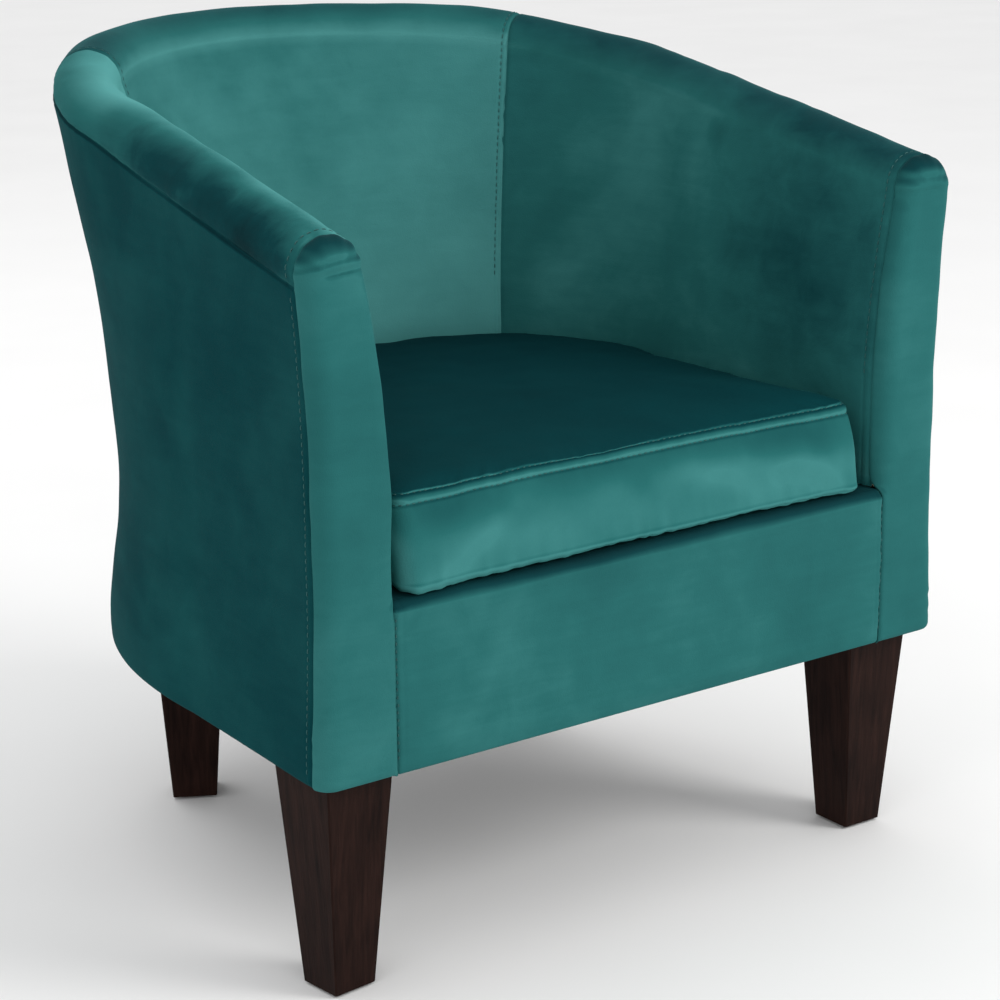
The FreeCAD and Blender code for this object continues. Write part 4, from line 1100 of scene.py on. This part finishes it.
def refine_around(G, factor):
    n = G.shape[0]
    out = []
    for i in range(n):
        p0, p1, p2, p3 = G[i - 1], G[i], G[(i + 1) % n], G[(i + 2) % n]
        for k in range(factor):
            t = k / factor
            out.append(0.5 * ((2 * p1) + (-p0 + p2) * t + (2 * p0 - 5 * p1 + 4 * p2 - p3) * t * t + (-p0 + 3 * p1 - 3 * p2 + p3) * t ** 3))
    return np.array(out)


js = np.concatenate([np.arange(0, side_first - 2), np.linspace(side_first - 2, side_first + 2.0, 21)[:-1],
                     np.linspace(side_first + 2.0, side_last - 2.6, 20)[:-1], np.linspace(side_last - 2.6, side_last + 2.2, 29)[:-1],
                     np.linspace(side_last + 2.2, nj - 1, 40)])
FG = refine_around(resample(CG, js), 2)
FR = refine_around(resample(REST, js), 2)
N = normals(np.concatenate([FG[-1:], FG, FG[:1]], 0))[1:-1]
if N[0, len(js) // 2, 1] > 0:
    N = -N
# distances along the cloth from the two seams, ring by ring
seg = np.linalg.norm(np.diff(FR, axis=1), axis=-1)
run_j = np.concatenate([np.zeros((FR.shape[0], 1)), np.cumsum(seg, axis=1)], 1)
j_low = int(np.argmin(np.abs(js - side_first)))
j_high = int(np.argmin(np.abs(js - side_last)))
d_high = run_j - run_j[:, j_high:j_high + 1]
d_low = run_j - run_j[:, j_low:j_low + 1]
ring_seg = np.linalg.norm(np.diff(np.concatenate([FR, FR[:1]], 0), axis=0), axis=-1)
along = np.cumsum(ring_seg[:, j_high])[:, None] * np.ones((1, len(js)))
D = 0.5 * waves(FR, 130.0, 151) + 0.22 * waves(FR, 48.0, 152)
D -= groove(d_high, 1.9, 1.7) + groove(d_high + 9.0, 1.4, 0.7)
D += 0.7 * np.exp(-((d_high + 4.6) / 3.2) ** 2)
D -= groove(d_low, 2.0, 1.6)
D += seam_gathers(np.abs(d_high), along, 153, 11.0, 0.30)
D += seam_gathers(np.abs(d_low), along, 154, 13.0, 0.35)
# the corners of the boxing pucker
for cx, w in ((-240.0, 1.5), (240.0, 0.8)):
    near = np.exp(-(((FR[..., 0] - cx) / 16.0) ** 2)) * np.exp(-(((FR[..., 1] + 290.0) / 22.0) ** 2))
    D += w * near * np.sin((FR[..., 0] + FR[..., 1]) / 2.6) * np.exp(-np.abs(d_high + 4) / 9.0)
FG = FG + N * D[..., None]
# room for the zip under the cushion
low_side = (js < side_first - 0.5)[None, :] * np.ones((FG.shape[0], 1), bool)
zip_zone = low_side & (np.abs(FR[..., 1] - 96.0) < 9.0) & (np.abs(FR[..., 0]) < 156.0)
under = low_side & ~zip_zone
FG[..., 2] = np.where(under, np.clip(FG[..., 2], 335.4, None), FG[..., 2])
FG[..., 2] = np.where(zip_zone, 340.2, FG[..., 2])
# keep clear of the inner wall
lim_u = np.linspace(0.0, 2.0, 400)
lim = np.array([flat_spot(u, 1, reach(SEAT, u) - 2.5) for u in lim_u])
pol_a = np.degrees(np.arctan2(FG[..., 1] - TURN_Y, np.abs(FG[..., 0]) + 1e-9))
lim_a = np.degrees(np.arctan2(lim[:, 1] - TURN_Y, lim[:, 0]))
lim_r = np.hypot(lim[:, 0], lim[:, 1] - TURN_Y)
order = np.argsort(lim_a)
rr = np.hypot(FG[..., 0], FG[..., 1] - TURN_Y)
mx = np.interp(pol_a, lim_a[order], lim_r[order])
inside_wall = FG[..., 1] > FRONT_Y + 6.0
k = np.where(inside_wall & (rr > mx), mx / (rr + 1e-9), 1.0)
FG[..., 0] *= k
FG[..., 1] = TURN_Y + (FG[..., 1] - TURN_Y) * k
for name, depth, mat_in, node in (("cushion_wrap_layer", 4.2, M_WAD, "cushion_wrap"), ("cushion_foam_core", 11.5, M_FOAM, "cushion_foam")):
    NC = normals(np.concatenate([CG[-1:], CG, CG[:1]], 0))[1:-1]
    if NC[0, (side_first + side_last) // 2, 1] > 0:
        NC = -NC
    IN = CG - NC * depth
    IN[..., 2] = np.where(CG[..., 2] < C_LOW + 2.0, np.maximum(IN[..., 2], 338.0 + depth), IN[..., 2])
    v, f = closed_ring_mesh(name, IN)
    ob = make_mesh(name, v, f, mat_in, "cushion")
    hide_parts(node)
v, f = closed_ring_mesh("seat_cushion", FG)
cushion = make_mesh("seat_cushion_case", v, f, M_SEAT, "cushion")
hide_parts("cushion_top", "cushion_boxing", "cushion_bottom")
N = normals(np.concatenate([FG[-1:], FG, FG[:1]], 0))[1:-1]
if N[0, len(js) // 2, 1] > 0:
    N = -N


def ring_line(dist, d_from):
    """Closed line round the cushion at a distance from a seam."""
    pts, nrm = [], []
    for i in range(FG.shape[0]):
        pts.append([np.interp(dist, d_from[i], FG[i, :, c]) for c in range(3)])
        nrm.append([np.interp(dist, d_from[i], N[i, :, c]) for c in range(3)])
    return np.array(pts + pts[:1]), np.array(nrm + nrm[:1])


p, q = ring_line(-9.0, d_high)
stitch("stitches_cushion", p, q, long=3.4, gap=2.4, r=0.38, lift=0.1, trim=0.0)
p, q = ring_line(-0.4, d_high)
stitch("stitches_cushion", p, q, long=2.4, gap=3.2, r=0.45, lift=0.15, trim=0.0)

for group, (vs, fs) in STITCHES.items():
    body = "cushion" if group == "stitches_cushion" else "chair"
    make_mesh(group, np.array(vs), fs, M_THREAD, body)

# ---------------------------------------------------------------- underside
def under_ring(inset, z):
    pts = []
    for which in ("left", "back", "right"):
        us, sides = ST[which]
        pts.append(place(us, sides, outer(us, 193.0) - inset, z))
    return np.concatenate(pts)


cols = []
for inset in (4.6, 8.0, 14.0, 21.0, 28.0, 34.0):
    P = under_ring(inset, 192.4)
    P[:, 1] = np.maximum(P[:, 1], FRONT_Y + 4.6)
    P[:, 2] += 0.10 * waves(P, 30.0, 160 + int(inset))
    cols.append(P)
G = np.stack(cols, 1)
N = normals(G)
flip = bool(N[60, 3, 2] > 0)
if flip:
    N = -N
hem = cloth_piece("cover_hem_cloth", G, N, M_HEM, thick=0.9, flip=not flip)
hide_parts("cover_hem")


def flat_cloth(name, table, inset, y_front, z, thick, seed, holes, wave):
    """D-shaped cloth stretched flat, as rings round its middle; holes are round and lie on it."""
    us = np.concatenate([np.linspace(max((y_front - FRONT_Y) / (TURN_Y - FRONT_Y), 0.0), 1.0, 36), np.linspace(1.0, 2.0, 40)[1:]])
    half = np.array([flat_spot(u, 1, float(table(u)) - inset) for u in us])
    xs = half[0, 0]
    front = np.stack([np.linspace(0, xs, 26)[:-1], np.full(25, y_front)], 1)
    right_half = np.concatenate([front, half])
    left_half = right_half[::-1][1:-1] * np.array([-1.0, 1.0])
    loop = np.concatenate([right_half, left_half])
    mid = np.array([0.0, -30.0])
    ks = np.concatenate([[0.03], np.linspace(0.1, 0.97, 26), [0.985, 1.0]])
    G = np.stack([np.concatenate([mid + (loop - mid) * k, np.full((len(loop), 1), z)], 1) for k in ks], 1)
    G[..., 2] += wave * waves(G, 80.0, seed) * np.clip((1 - ks) / 0.1, 0, 1)[None]
    n1, n2 = G.shape[:2]
    V = np.concatenate([G.reshape(-1, 3), [[mid[0], mid[1], z]]])
    F = grid_faces(n1, n2, wrap=True) + [[i * n2, n1 * n2, ((i + 1) % n1) * n2] for i in range(n1)]
    keep = []
    for f in F:
        c = V[f].mean(axis=0)
        if all(math.hypot(c[0] - hx, c[1] - hy) > hr for hx, hy, hr in holes):
            keep.append([int(q) for q in f])
    N = mesh_normals(V, keep)
    if N[:, 2].sum() < 0:
        keep = [f[::-1] for f in keep]
        N = -N
    area = sum(0.5 * np.linalg.norm(np.cross(V[f[2]] - V[f[0]], V[f[-1]] - V[f[1]])) for f in keep if len(f) == 4) * 1e-6
    ob = shell(name, V, keep, N, thick, M_LINING)
    size = (loop.max(axis=0) - loop.min(axis=0)) * 0.001
    return ob, size, area


deck, size, area = flat_cloth("seat_deck_cloth", lambda u: look(T_SEAT, u), 0.4, FRONT_Y + 47.6, DECK_Z - 0.8, 0.9, 181, (), 0.12)
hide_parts("deck_cloth")
dust, size, area = flat_cloth("underside_lining_cloth", lambda u: outer(u, 192.0), 14.0, FRONT_Y + 14.0, BODY_Z0 - 0.5, 0.6, 182, (), 0.10)
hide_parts("dust_cover")

# ---------------------------------------------------------------- floor, light
def floor_material():
    mat, nt, bsdf, out = node_material("floor")
    v = mapped(nt, (1.0, 1.0, 1.0))
    n = noise(nt, v, 3.0, 2.0)
    nt.links.new(ramp(nt, n, [(0.3, (0.86, 0.86, 0.86)), (0.7, (0.88, 0.88, 0.88))]), bsdf.inputs["Base Color"])
    bsdf.inputs["Roughness"].default_value = 0.9
    bsdf.inputs["Specular IOR Level"].default_value = 0.1
    return mat


fm = bpy.data.meshes.new("floor")
fm.from_pydata([(-14, -14, -0.0005), (14, -14, -0.0005), (14, 14, -0.0005), (-14, 14, -0.0005)], [], [(0, 1, 2, 3)])
fm.materials.append(floor_material())
floor = bpy.data.objects.new("floor", fm)
bpy.context.scene.collection.objects.link(floor)

world = bpy.data.worlds.new("studio")
bpy.context.scene.world = world
world.use_nodes = True
bg = world.node_tree.nodes["Background"]
bg.inputs["Color"].default_value = (1.0, 1.0, 1.0, 1.0)
bg.inputs["Strength"].default_value = 0.95


def area_light(name, place, aim, size, power, colour=(1, 1, 1)):
    l = bpy.data.lights.new(name, "AREA")
    l.shape = "DISK"
    l.size = size
    l.energy = power
    l.color = colour
    o = bpy.data.objects.new(name, l)
    bpy.context.scene.collection.objects.link(o)
    d = Vector(aim) - Vector(place)
    o.matrix_world = Matrix.Translation(Vector(place)) @ d.to_track_quat("-Z", "Y").to_matrix().to_4x4()
    return o


area_light("key", (1.9, -2.9, 2.3), (0.0, 0.0, 0.4), 1.6, 60.0, (1.0, 0.99, 0.97))
area_light("fill", (-2.6, -1.8, 2.6), (0.0, 0.0, 0.4), 2.4, 8.0, (0.95, 0.98, 1.0))
area_light("back", (-0.4, 2.8, 2.6), (0.0, 0.0, 0.5), 2.0, 14.0)

bpy.context.scene.view_settings.view_transform = "Standard"
bpy.context.scene.view_settings.look = "None"
